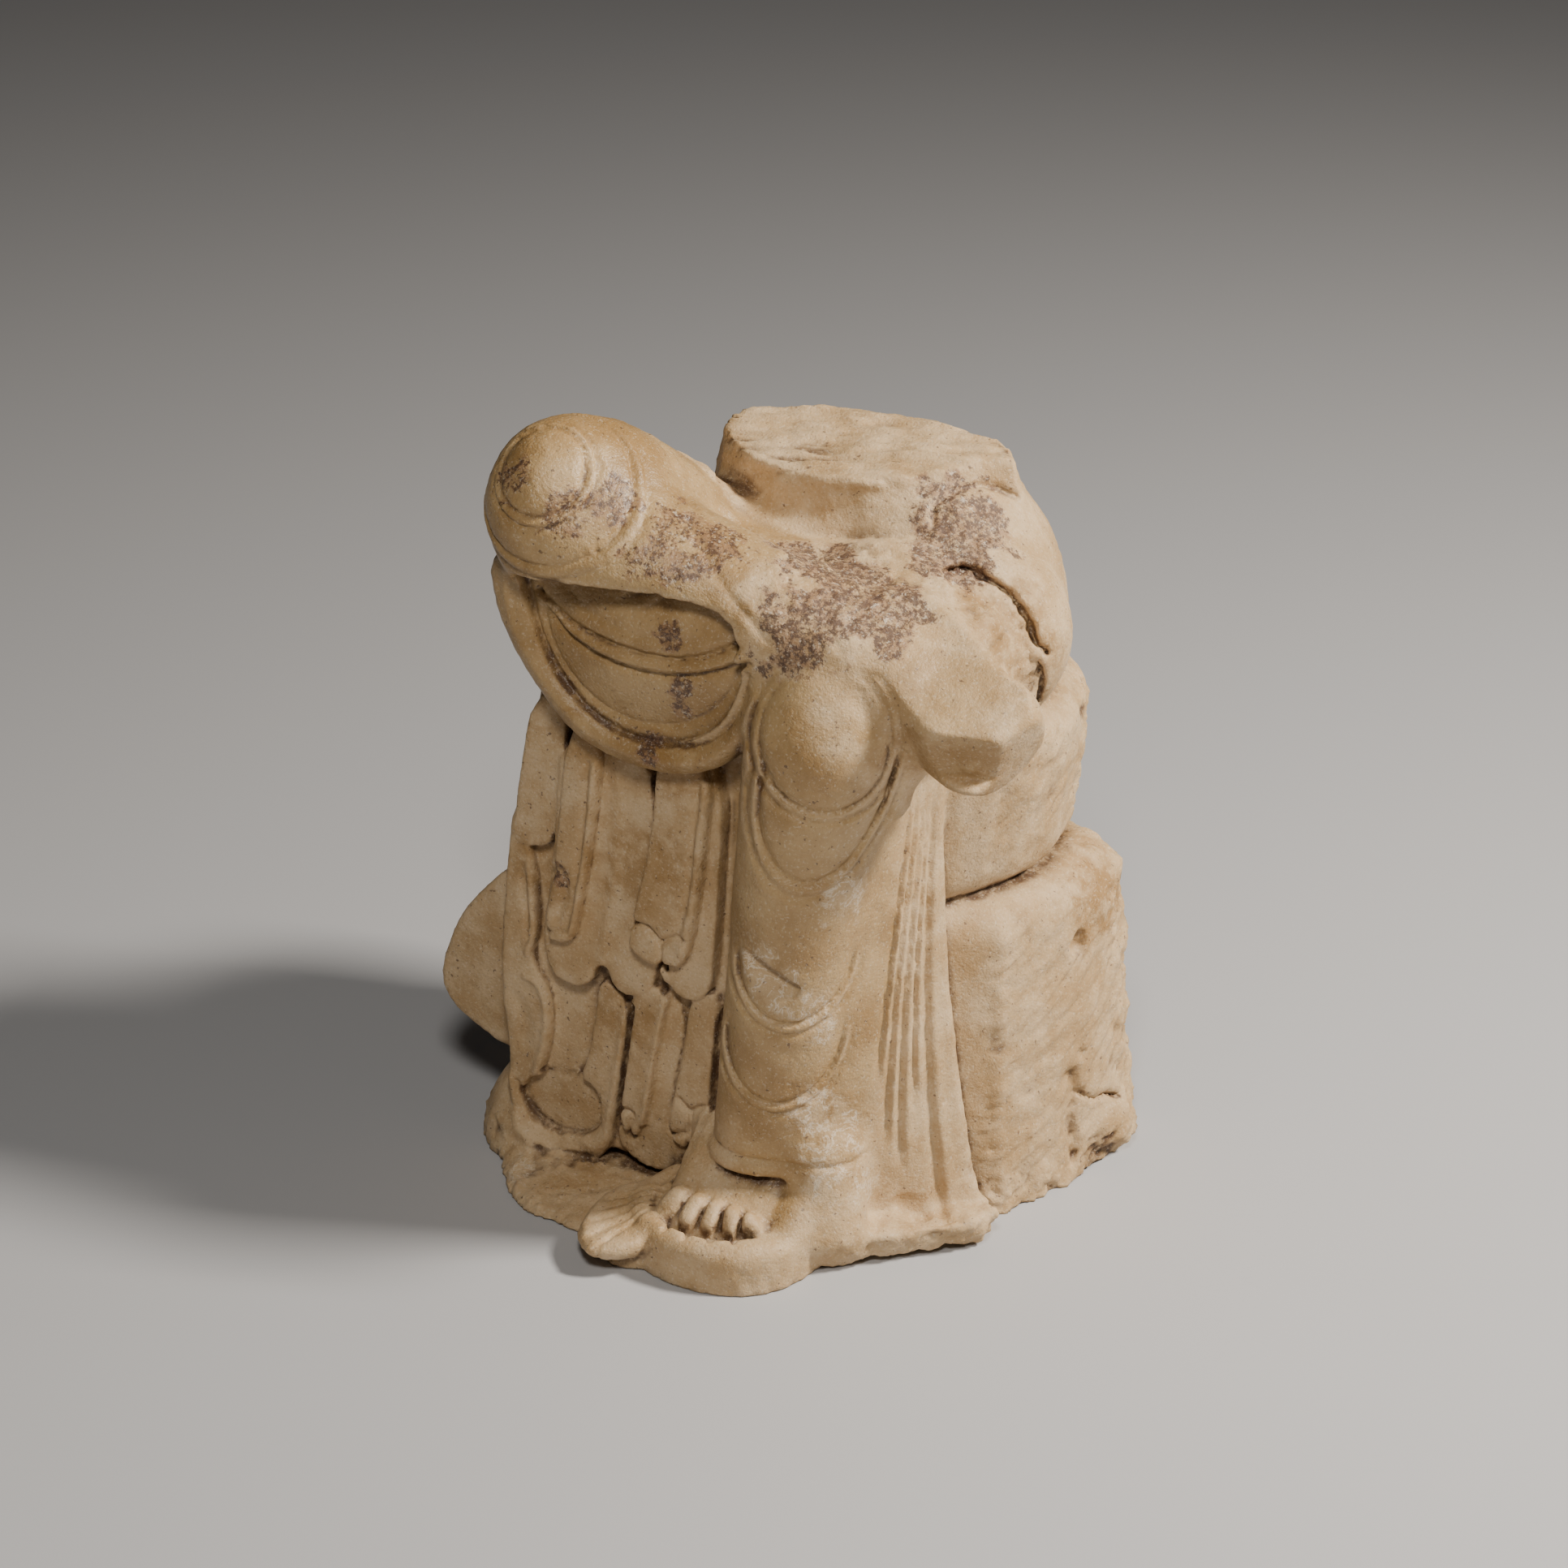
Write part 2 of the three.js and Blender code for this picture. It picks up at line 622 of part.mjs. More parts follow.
function thinOut({ points, faces }, wanted) {
  const around = points.map(() => new Set());
  const quadrics = points.map(() => new Float64Array(10));
  const changes = new Uint32Array(points.length);
  const queue = new Queue();
  faces.forEach((face, f) => {
    const [p, q, r] = face.map((v) => points[v]);
    const normal = cross(minus(q, p), minus(r, p));
    const size = Math.sqrt(dot(normal, normal));
    const unit = normal.map((c) => c / size);
    for (const v of face) {
      around[v].add(f);
      addPlane(quadrics[v], unit, -dot(unit, p), size);
    }
  });

  function neighbours(v) {
    return new Set([...around[v]].flatMap((f) => faces[f]).filter((u) => u !== v));
  }

  function offer(a, b) {
    const both = quadrics[a].map((value, n) => value + quadrics[b][n]);
    const point = bestPoint(both, points[a], points[b]);
    const edge = minus(points[a], points[b]);
    const cost = quadricError(both, point) + LENGTH_COST * dot(edge, edge);
    queue.push({ cost, a, b, point, seen: [changes[a], changes[b]] });
  }

  // No face may fold over or become a sliver when two points are drawn together
  function staysSound(a, b, point) {
    for (const f of new Set([...around[a], ...around[b]])) {
      const face = faces[f];
      if (face.includes(a) && face.includes(b)) {
        continue;
      }
      const [before, shapeBefore] = normalAndShape(...face.map((v) => points[v]));
      const [after, shape] = normalAndShape(...face.map((v) => (v === a || v === b ? point : points[v])));
      const turned = dot(before, after) < COLLAPSE_TURN * Math.sqrt(dot(before, before) * dot(after, after));
      if (turned || shape < Math.min(LEAST_SHAPE, shapeBefore)) {
        return false;
      }
    }
    return true;
  }

  // The surface stays closed when the two points share just the two neighbours beside their edge
  function mayJoin(a, b) {
    const beside = neighbours(b);
    return [...neighbours(a)].filter((v) => beside.has(v)).length === 2;
  }

  points.forEach((_, a) => neighbours(a).forEach((b) => {
    if (a < b) {
      offer(a, b);
    }
  }));
  let left = faces.length;
  while (left > wanted) {
    const { a, b, point, seen } = queue.pop();
    const stale = changes[a] !== seen[0] || changes[b] !== seen[1];
    if (stale || !mayJoin(a, b) || !staysSound(a, b, point)) {
      continue;
    }
    for (const f of [...around[a]].filter((g) => around[b].has(g))) {
      faces[f].forEach((v) => around[v].delete(f));
      faces[f] = null;
      left -= 1;
    }
    for (const f of around[b]) {
      faces[f] = faces[f].map((v) => (v === b ? a : v));
      around[a].add(f);
    }
    around[b].clear();
    quadrics[a] = quadrics[a].map((value, n) => value + quadrics[b][n]);
    points[a] = point;
    changes[a] += 1;
    changes[b] += 1;
    neighbours(a).forEach((v) => offer(a, v));
  }
  return { points, faces: faces.filter(Boolean) };
}

// Joining and cutting closed meshes
const wasm = await Module();
wasm.setup();

function solidOf(geometry) {
  const bare = geometry.clone().deleteAttribute('normal');
  bare.deleteAttribute('uv');
  const merged = mergeVertices(bare);
  return new wasm.Manifold(new wasm.Mesh({
    numProp: 3,
    vertProperties: new Float32Array(merged.attributes.position.array),
    triVerts: new Uint32Array(merged.index.array),
  }));
}

function geometryOf(solid) {
  const { vertProperties, triVerts } = solid.getMesh();
  const geometry = new THREE.BufferGeometry();
  geometry.setAttribute('position', new THREE.BufferAttribute(vertProperties, 3));
  geometry.setIndex(new THREE.BufferAttribute(triVerts, 1));
  geometry.computeVertexNormals();
  return geometry;
}

function meshGeometry({ points, faces }) {
  const geometry = new THREE.BufferGeometry();
  geometry.setAttribute('position', new THREE.Float32BufferAttribute(points.flat(), 3));
  geometry.setIndex(faces.flat());
  return geometry;
}

// The figure: carve, mesh, thin out, and cut the underside flat at the floor
function figureGeometry() {
  const block = new Block(BLOCK_LOW, BLOCK_HIGH, CELL);
  carveStool(block);
  carveBase(block);
  carveCore(block);
  carveBody(block);
  carveFin(block);
  carveLegs(block);
  carveSkirt(block);
  carveCurtain(block);
  carveSwag(block);
  carvePad(block);
  carveFoot(block);
  block.each(BLOCK_LOW, BLOCK_HIGH, (value, x, y, z) => Math.max(value, -BELOW - z));
  const rough = thinOut(surfaceOf(block), WANTED_TRIANGLES);
  const floor = new THREE.BoxGeometry(600, 600, 100).translate(0, 0, -50);
  const geometry = geometryOf(solidOf(meshGeometry(rough)).subtract(solidOf(floor)));
  geometry.computeBoundingBox();
  const middle = geometry.boundingBox.getCenter(new THREE.Vector3());
  return geometry.translate(-middle.x, -middle.y, 0);
}

const marble = new THREE.MeshStandardMaterial({
  color: STONE_COLOUR,
  roughness: STONE_ROUGHNESS,
  metalness: 0,
});

const figure = new THREE.Mesh(figureGeometry(), marble);
figure.name = 'marble_figure';

const part = new THREE.Group();
part.add(figure);

export default part;
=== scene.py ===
# %% [markdown]
# # A broken marble figure
# The lower half of a seated stone figure: one leg hangs down onto a flower pad, the other lies
# across it with its knee high on the left, and the body is broken off at the waist. All of it is
# one block of marble: legs, skirt, hanging folds, rough stool and low base.
#
# A carver has one block and only decides how far to cut. This script keeps to one block as well. It
# fills a grid with distances to simple forms, melts them together, cuts lines into them, and only
# then asks where the surface is. A grid of two parameters can't follow undercut folds, a crossing
# leg and a broken waist in one closed skin, and a field of distances can.

import math

import bpy
import numpy as np
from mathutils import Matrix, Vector


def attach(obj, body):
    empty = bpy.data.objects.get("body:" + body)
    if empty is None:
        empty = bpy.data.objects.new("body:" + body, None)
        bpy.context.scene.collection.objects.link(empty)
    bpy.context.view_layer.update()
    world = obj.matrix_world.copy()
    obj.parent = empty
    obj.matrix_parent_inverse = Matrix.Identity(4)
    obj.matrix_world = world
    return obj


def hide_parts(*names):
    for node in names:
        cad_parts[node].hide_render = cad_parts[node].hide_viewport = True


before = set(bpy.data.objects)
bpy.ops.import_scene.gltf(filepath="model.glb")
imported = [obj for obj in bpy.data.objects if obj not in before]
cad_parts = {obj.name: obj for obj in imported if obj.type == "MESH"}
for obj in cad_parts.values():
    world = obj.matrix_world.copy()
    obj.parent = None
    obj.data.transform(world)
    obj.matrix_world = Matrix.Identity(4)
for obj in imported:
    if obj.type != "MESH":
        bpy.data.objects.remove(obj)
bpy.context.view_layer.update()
NODE = "marble_figure"
MM = 0.001
CELL = 0.85          # grid step of the carving, in mm
TRIANGLES = 190_000

# %% [markdown]
# ## The block of distances
# Every point of the grid holds its distance to the stone: negative inside, positive outside. Joining
# two forms takes the smaller distance, and a soft join of width k rounds the inner corner between
# them, as a rasp would. Cutting takes the larger of the old distance and minus the form's. Pressing
# simply adds a depth, which sinks a line or raises a ridge. Each form is worked out only inside its
# own window of the grid, as one whole array, so the carving takes seconds.

# %% The block and its three tools
BLOCK_LOW = np.array([-142.0, -102.0, -12.0])
BLOCK_HIGH = np.array([98.0, 106.0, 284.0])
FAR = 40.0
BELOW = 8.0


def clamp01(t):
    """t, or 0 or 1 where it lies outside them."""
    return np.clip(t, 0.0, 1.0)


class Block:
    """Distances on a grid from low to high, one value every cell millimetres."""

    def __init__(self, low, high, cell):
        self.low = np.array(low, float)
        self.cell = cell
        self.size = np.ceil((np.array(high) - self.low) / cell).astype(int) + 1
        self.values = np.full(self.size, FAR, np.float32)

    def window(self, low, high):
        """The slices of the grid between two corners, and its x, y and z there as thin arrays."""
        first = np.clip(np.floor((np.array(low) - self.low) / self.cell), 0, self.size).astype(int)
        last = np.clip(np.ceil((np.array(high) - self.low) / self.cell) + 1, 0, self.size).astype(int)
        steps = [np.arange(start, stop) for start, stop in zip(first, last)]
        x, y, z = [(self.low[a] + self.cell * steps[a]).astype(np.float32) for a in range(3)]
        part = tuple(slice(a, b) for a, b in zip(first, last))
        return part, x[:, None, None], y[None, :, None], z[None, None, :]

    def around(self, form, k):
        """The window that a form reaches when it is joined with width k."""
        return self.window(np.array(form.low) - k - 2, np.array(form.high) + k + 2)

    def add(self, form, k):
        """Soft union: both distances blended by how near they are to each other, less k h (1 - h)."""
        part, x, y, z = self.around(form, k)
        new, old = form.at(x, y, z), self.values[part]
        h = clamp01(0.5 + 0.5 * (old - new) / k)
        self.values[part] = old + (new - old) * h - k * h * (1 - h)

    def cut(self, form, k):
        """Soft difference: the same blend between the old distance and minus the form's."""
        part, x, y, z = self.around(form, k)
        new, old = -form.at(x, y, z), self.values[part]
        h = clamp01(0.5 - 0.5 * (old - new) / k)
        self.values[part] = old + (new - old) * h + k * h * (1 - h)

    def press(self, depth, low, high):
        """Sink the surface by depth(x, y, z) millimetres, or raise it where that is negative."""
        part, x, y, z = self.window(low, high)
        self.values[part] += depth(x, y, z)


class Form:
    """A distance at(x, y, z), and the corners low and high of the box that holds the form."""

    def __init__(self, at, low, high):
        self.at, self.low, self.high = at, low, high


block = Block(BLOCK_LOW, BLOCK_HIGH, CELL)
print("grid:", block.size, "values:", block.values.size)

# %% [markdown]
# ## The forms
# A few kinds of form make the whole figure. Balls give hips and knees, limbs give legs, plates give
# the stool and the waist, whose outline is known from above, and flaps give the cloth, whose outline
# is known from the front. The outlines are short rings of corners, rounded by cutting corners, so
# that a form keeps the few sizes that a carver would mark on the block.

# %% Round forms
def ball(centre, radii, turn=None):
    """Ellipsoid: k (k - 1) / s, with k the scaled distance from the centre and s its slope."""
    def at(x, y, z):
        x, y, z = into(centre, turn, x, y, z)
        scaled = np.sqrt((x / radii[0]) ** 2 + (y / radii[1]) ** 2 + (z / radii[2]) ** 2)
        slope = np.sqrt((x / radii[0] ** 2) ** 2 + (y / radii[1] ** 2) ** 2 + (z / radii[2] ** 2) ** 2)
        return scaled * (scaled - 1) / np.maximum(slope, 1e-6)
    reach = np.array(radii) if turn is None else np.full(3, max(radii))
    return Form(at, np.array(centre) - reach, np.array(centre) + reach)


def limb(start, end, start_radius, end_radius):
    """Round-ended taper: distance to the segment, less a radius that changes evenly along it."""
    start, end = np.array(start, float), np.array(end, float)
    span = end - start

    def at(x, y, z):
        p = [x - start[0], y - start[1], z - start[2]]
        t = clamp01((p[0] * span[0] + p[1] * span[1] + p[2] * span[2]) / (span @ span))
        away = np.sqrt(sum((p[a] - t * span[a]) ** 2 for a in range(3)))
        return away - (start_radius + (end_radius - start_radius) * t)
    widest = max(start_radius, end_radius)
    return Form(at, np.minimum(start, end) - widest, np.maximum(start, end) + widest)


def turned(rx=0.0, ry=0.0, rz=0.0):
    """The matrix that turns by rx about x, then ry about y, then rz about z, in degrees."""
    a, b, c = np.radians([rx, ry, rz])
    about_x = [[1, 0, 0], [0, math.cos(a), -math.sin(a)], [0, math.sin(a), math.cos(a)]]
    about_y = [[math.cos(b), 0, math.sin(b)], [0, 1, 0], [-math.sin(b), 0, math.cos(b)]]
    about_z = [[math.cos(c), -math.sin(c), 0], [math.sin(c), math.cos(c), 0], [0, 0, 1]]
    return np.array(about_z) @ np.array(about_y) @ np.array(about_x)


def into(centre, turn, x, y, z):
    """A point as the form sees it: from its centre, along its own turned axes."""
    x, y, z = x - centre[0], y - centre[1], z - centre[2]
    if turn is None:
        return x, y, z
    return [float(turn[0, a]) * x + float(turn[1, a]) * y + float(turn[2, a]) * z for a in range(3)]


def slab(centre, half, edge, turn=None):
    """Box with rounded edges: the box is shrunk by the edge radius, and the distance grown back."""
    def at(x, y, z):
        q = [np.abs(p) - (h - edge) for p, h in zip(into(centre, turn, x, y, z), half)]
        outer = np.sqrt(sum(np.maximum(c, 0) ** 2 for c in q))
        return outer + np.minimum(np.maximum(np.maximum(q[0], q[1]), q[2]), 0) - edge
    reach = np.full(3, math.dist(half, (0, 0, 0)))
    return Form(at, np.array(centre) - reach, np.array(centre) + reach)


def rounded_edge(p, q, edge):
    """Two distances at right angles joined into one, with their shared edge rounded."""
    outer = np.hypot(np.maximum(p + edge, 0), np.maximum(q + edge, 0))
    return outer + np.minimum(np.maximum(p, q) + edge, 0) - edge


def drum(centre, half_x, half_y, bottom, top, power, edge):
    """Upright drum on a rounded square: |x/a|^n + |y/b|^n = 1 in plan, n being the power."""
    def at(x, y, z):
        x, y = x - centre[0], y - centre[1]
        rho = (np.abs(x / half_x) ** power + np.abs(y / half_y) ** power) ** (1 / power)
        side = np.hypot(x, y) * (1 - 1 / np.maximum(rho, 1e-3))
        return rounded_edge(np.maximum(side, -60), np.maximum(bottom - z, z - top), edge)
    low = (centre[0] - half_x, centre[1] - half_y, bottom)
    high = (centre[0] + half_x, centre[1] + half_y, top)
    return Form(at, low, high)


# %% Outlined forms
def rounded(outline, passes=2, closed=True):
    """Corner cutting: every pass puts two points on each side, a quarter in from its ends."""
    ring = np.array(outline, float)
    for _ in range(passes):
        after = np.roll(ring, -1, 0) if closed else ring[1:]
        here = ring if closed else ring[:-1]
        cut = np.stack([0.75 * here + 0.25 * after, 0.25 * here + 0.75 * after], 1).reshape(-1, 2)
        ring = cut if closed else np.concatenate([ring[:1], cut, ring[-1:]])
    return ring


def line_distance(line, u, v):
    """Distance to an open line of points: the least of the distances to its straight sides."""
    nearest = None
    for (au, av), (bu, bv) in zip(line[:-1], line[1:]):
        eu, ev = bu - au, bv - av
        t = clamp01(((u - au) * eu + (v - av) * ev) / (eu * eu + ev * ev))
        away = (u - au - t * eu) ** 2 + (v - av - t * ev) ** 2
        nearest = away if nearest is None else np.minimum(nearest, away)
    return np.sqrt(nearest)


def outline_distance(ring, u, v):
    """Distance to a ring, negative where a ray from the point crosses it an odd number of times."""
    crossed = np.zeros(np.broadcast(u, v).shape, bool)
    for (au, av), (bu, bv) in zip(ring, np.roll(ring, -1, 0)):
        spans = (av > v) != (bv > v)
        reach = au + (bu - au) * (v - av) / (bv - av if bv != av else 1.0)
        crossed ^= spans & (u < reach)
    away = line_distance(np.concatenate([ring, ring[:1]]), u, v)
    return np.where(crossed, -away, away).astype(np.float32)


def plate(outline, bottom, top, edge, passes=2, lean=0.0, tilt=(0.0, 0.0)):
    """Outline seen from above; walls lean in above z = 0, and the top is the plane z = top + tilt . xy."""
    ring = rounded(outline, passes)
    low, high = ring.min(0), ring.max(0)
    middle = (low + high) / 2

    def at(x, y, z):
        side = outline_distance(ring, x, y) + lean * (z - max(bottom, 0))
        over = z - top - tilt[0] * (x - middle[0]) - tilt[1] * (y - middle[1])
        return rounded_edge(side, np.maximum(bottom - z, over), edge)
    grow = max(0.0, -lean) * (top - bottom) + max(0.0, lean) * max(-bottom, 0)
    rise = np.abs(tilt) @ (high - low) / 2
    return Form(at, (low[0] - grow, low[1] - grow, bottom), (high[0] + grow, high[1] + grow, top + rise))


def flap(outline, front, back, edge, passes=2):
    """Outline seen from the front, thick from front to back."""
    ring = rounded(outline, passes)
    low, high = ring.min(0), ring.max(0)

    def at(x, y, z):
        return rounded_edge(outline_distance(ring, x, z), np.maximum(front - y, y - back), edge)
    return Form(at, (low[0], front, low[1]), (high[0], back, high[1]))


def groove(away, width, depth):
    """A chisel line: depth times e to the minus square of distance over width."""
    return depth * np.exp(-(away / width) ** 2)

# %% [markdown]
# ## The stool and the base
# The figure sits on a roughly dressed block under a flatter seat block, with a deep seam between
# them. Their sides are flat with a corner between, so the plan keeps few corners and one pass of
# rounding. Under the hanging cloth the base is a broken lump that slopes down to its rim.

# %% Stool and base
SEAT, SEAM = 178, 113
BASE_TOP, PAD_TOP = 9, 17
STOOL_OUTLINE = [
    (65, -4), (79, 28), (84, 50), (84, 72), (74, 90), (40, 97), (-20, 97),
    (-62, 90), (-86, 66), (-92, 30), (-84, 0), (-60, -24), (0, -30),
]
SEAT_OUTLINE = [
    (38, -8), (52, 4), (62, 30), (63, 48), (57, 72), (42, 84),
    (0, 86), (-50, 80), (-70, 58), (-76, 30), (-64, 0), (-30, -10),
]
BASE_OUTLINE = [
    (-114, -18), (-111, -36), (-97, -50), (-82, -69), (-68, -77), (-50, -77), (-34, -84), (10, -80),
    (34, -52), (50, -22), (66, -4), (80, 30), (60, 60), (-60, 60), (-100, 30),
]
CORE_OUTLINE = [(-80, -22), (6, -30), (38, -14), (44, 0), (40, 30), (-80, 30)]
block.add(plate(STOOL_OUTLINE, -BELOW - 4, SEAM + 2, 12, passes=1, lean=0.07, tilt=(-0.08, 0.0)), 1)
block.add(plate(SEAT_OUTLINE, SEAM - 4, SEAT, 13, passes=1, lean=-0.11, tilt=(-0.10, 0.0)), 1)
block.add(ball((76, 58, 12), (12.5, 15, 13)), 2)
block.add(plate(BASE_OUTLINE, -BELOW - 4, BASE_TOP, 3, lean=0.6, tilt=(0.0, 0.10)), 1)
block.add(ball((-93, -16, 0), (25, 34, 30)), 4)
block.add(plate(CORE_OUTLINE, -BELOW - 4, 190, 6), 3)

# %% [markdown]
# ## The body
# The hips are one broad ball, wider on the side that bears the weight. The lap is a sloping slab
# that falls towards the hanging knee. The waist is broken off almost level, and the break keeps sharp
# edges, so it is a plate with a tilted top and hardly any rounding.

# %% Hips, lap and waist
WAIST_TOP = 251.5
TORSO_OUTLINE = [
    (-58, 16), (-30, -2), (10, -2), (32, 14), (42, 27), (60, 40),
    (44, 62), (14, 66), (-20, 62), (-50, 50), (-61, 38),
]
block.add(ball((21, 36, 198), (44.5, 44, 52)), 4)
block.add(ball((0, 36, 196), (50, 40, 42)), 6)
block.add(slab((4, -12, 216), (42, 42, 13), 12, turned(8, 6)), 5)
block.add(slab((36, -20, 208), (30, 30, 14), 10, turned(20, 14, -8)), 8)
block.add(plate(TORSO_OUTLINE, 206, WAIST_TOP, 1.2, passes=1, lean=0.20, tilt=(-0.03, 0.15)), 6)

# %% [markdown]
# ## The legs
# The crossed leg rises to a high round knee, and its shin runs across the lap to a stump where the
# foot is broken off. The hanging leg is a straight taper from its round knee to the trouser hem.

# %% Legs
KNEE_UP, KNEE_DOWN, HEM = 244, 187, 31
FIN_OUTLINE = [
    (-134, 56), (-133, 46), (-126, 39), (-106, 30), (-80, 30),
    (-80, 110), (-105, 100), (-116, 89), (-126, 76),
]
block.add(flap(FIN_OUTLINE, -30, -8, 2, passes=1), 2)
block.add(limb((-42, 10, 208), (-62, -36, 240), 25, 29), 5)
block.add(ball((-66, -47, KNEE_UP), (24, 25, 28)), 5)
block.add(limb((-57, -44, KNEE_UP - 12), (42, -33, 204), 26, 20), 8)
STUMP = limb((44, -22, 206), (77, -39, 196), 23, 20)
STUMP_BLOCK = slab((59.5, -31, 201), (33, 18, 15.5), 4, turned(28, 24, -17))
STUMP_CUT = Form(lambda x, y, z: np.maximum(STUMP.at(x, y, z), STUMP_BLOCK.at(x, y, z)),
                 STUMP.low, STUMP.high)
block.add(STUMP_CUT, 5)
block.cut(slab((83, -60.6, 192.6), (32, 10, 16), 1, turned(27, 0, 17)), 1.5)
block.add(limb((44, 20, 200), (40, -25, 192), 32, 24), 5)
block.add(ball((28, -46, KNEE_DOWN + 1), (24.5, 21, 28)), 2.5)
block.add(limb((27, -46, KNEE_DOWN - 2), (4, -44, HEM - 3), 24, 16.6), 3)
block.add(limb((50, -38, 204), (44, -36, 165), 11, 8), 7)


# %% [markdown]
# ## The skirt
# The skirt is drawn tight from the shin to its own loose border on the right. At every height it is
# the straight taper between a circle round the leg and a small circle at the border, and how far
# along that taper a point lies, from 0 at the leg to 1 at the border, is kept for its folds.

# %% Skirt
SKIRT_TOP = 184
BORDER_Y = -9


def skirt_place(x, y, z):
    """How far from the leg (0) to the border (1), and the distance to the taper between them."""
    up = clamp01(z / 190)
    leg_x, leg_y, leg_r = 10 + 21 * up, -42 + 2 * up, 16 + 2 * up
    border_x = 46 + 19 * (1 - clamp01(z / 150)) ** 2
    ex, ey = border_x - leg_x, BORDER_Y - leg_y
    px, py = x - leg_x, y - leg_y
    along = (px * ex + py * ey) / (ex * ex + ey * ey)
    t = clamp01(along)
    return along, np.hypot(px - t * ex, py - t * ey) - (leg_r + (4 - leg_r) * t)


SKIRT = Form(lambda x, y, z: np.maximum(skirt_place(x, y, z)[1], z - SKIRT_TOP),
             (-15, -75, -BELOW - 4), (78, 12, SKIRT_TOP))
block.add(SKIRT, 3)

# %% [markdown]
# ## The hanging cloth
# In front of the stool the cloth falls in two tiers of flat pleats that lie on each other like cards.
# Each pleat is an outline seen from the front, and a number of steps that its face stands in front of
# the panel. Two of them end in a split hem, and the lowest on the left is hollowed like a ladle.

# %% Hanging pleats
PANEL_FRONT, FOLD_STEP = -40, 2
PANEL_OUTLINE = [
    (-78, 200), (-87, 147), (-97, 100), (-99, 65), (-94, 48), (-97, 30),
    (-92, 14), (-60, 8), (-40, 12), (-16, 14), (-6, 90), (0, 200),
]
PLEATS = [   # steps in front of the panel, outline
    (2.2, [(-82, 176), (-68, 176), (-71, 141), (-75, 123), (-82, 119.5), (-92, 119.5), (-89, 140)]),
    (1.8, [(-91, 136), (-87, 126), (-84, 112), (-83, 91), (-87, 77), (-79, 66), (-79, 50), (-84, 34),
           (-91, 27), (-97, 27), (-97, 45), (-99, 65), (-96, 105)]),
    (2.8, [(-70, 170), (-38, 170), (-32, 120), (-36, 80), (-45.5, 73.5), (-53, 76), (-55, 84), (-59, 82),
           (-61, 75), (-68.5, 71.5), (-78, 75), (-80, 90), (-76, 110)]),
    (4.6, [(-66, 170), (-52, 170), (-57, 131), (-64.5, 96), (-67, 89.5), (-78, 89.5), (-72, 120)]),
    (2.8, [(-35, 170), (-8, 170), (-13.5, 93), (-16, 82), (-23, 78), (-30, 81), (-33.5, 90)]),
    (4.8, [(-31, 170), (-11, 170), (-17.6, 112), (-23, 92), (-30, 92.5), (-35, 90.5), (-44, 94), (-43, 102),
           (-35, 135)]),
    (1.6, [(-98, 34), (-96, 15), (-87, 6), (-72, 3.5), (-58, 8), (-54, 28), (-46.8, 72), (-61, 78),
           (-64, 55), (-68, 37), (-80, 34)]),
    (0.9, [(-55, 20), (-53, 10), (-41, 7), (-29, 11), (-26, 24), (-24, 76), (-46, 76), (-51, 40)]),
    (2.3, [(-46, 78), (-32, 80), (-37, 60), (-43.5, 21), (-50, 19), (-53, 29.5), (-51, 38), (-48, 57)]),
    (2.0, [(-25, 80), (-11, 84), (-14, 65), (-16.7, 36), (-20, 22), (-25, 20), (-34, 24), (-32, 40),
           (-28, 57)]),
]
LADLE = [(-93, 27), (-90, 16), (-75, 11), (-62, 17), (-59, 29), (-65, 37), (-80, 36)]
block.add(flap(PANEL_OUTLINE, PANEL_FRONT, 30, 2.5), 2)
for steps, outline in PLEATS:
    front = PANEL_FRONT - FOLD_STEP * steps
    block.add(flap(outline, front, front + 10, 1.5, passes=1), 0.6)
block.cut(flap(LADLE, -60, PANEL_FRONT + 0.5, 1), 1)

# %% The swag under the knee
SWAG_FRONT = -57
SWAG_OUTLINE = [
    (-90, 228), (-88, 207), (-76, 187), (-59, 169), (-36, 163), (-14, 165),
    (2, 175), (12, 195), (15, 216), (0, 232), (-60, 238),
]
SWAG_HOLLOW = [
    (-77, 226), (-73, 205), (-62, 187), (-46, 176), (-29, 174),
    (-12, 179), (0, 191), (6, 210), (0, 228), (-60, 228),
]
block.add(flap(SWAG_OUTLINE, SWAG_FRONT, -30, 4), 2)
block.cut(flap(SWAG_HOLLOW, SWAG_FRONT - 13, SWAG_FRONT + 3, 1), 1.5)
block.add(ball((-34, -45, 205), (44, 14, 30)), 2)

# %% [markdown]
# ## The foot on its flower pad
# The bare foot stands in a dished round pad with a thick rolled rim, and a half-open bud leans out
# beside it. The toes are five short limbs melted into the front of the foot.

# %% Foot and pad
FOOT_OUTLINE = [
    (-24, -40), (-21, -58), (-19, -72), (-14, -80), (-4, -81), (5, -79), (13, -76), (19, -71),
    (22, -62), (24, -45), (10, -34), (-12, -34),
]
LEDGE_OUTLINE = [
    (10, -66), (32, -60), (40, -48), (52, -41), (60, -32), (70, -22), (73, -10), (40, 0), (0, -30),
]
TOES = [   # x at the root, x and y at the tip, radius
    (-12.0, -14.0, -77, 4.9), (-5.4, -5.6, -79, 4.1), (1.0, 2.2, -78, 3.9),
    (7.2, 9.6, -76, 3.7), (13.4, 16.2, -72.5, 3.3),
]
BUD_OUTLINE = [(-12, -58), (-33, -56), (-43, -67), (-42, -84), (-36, -95), (-27, -99), (-14, -90)]
block.add(drum((-1, -59), 33, 30, -BELOW, PAD_TOP, 2.2, 6), 1.5)
block.cut(drum((-1, -60), 23.5, 22, PAD_TOP - 4, HEM - 1, 2, 2), 2)
block.add(plate(LEDGE_OUTLINE, 2, 12, 2, passes=1, lean=-0.3), 3)
block.add(ball((24, -48, 14), (13, 20, 13)), 4)
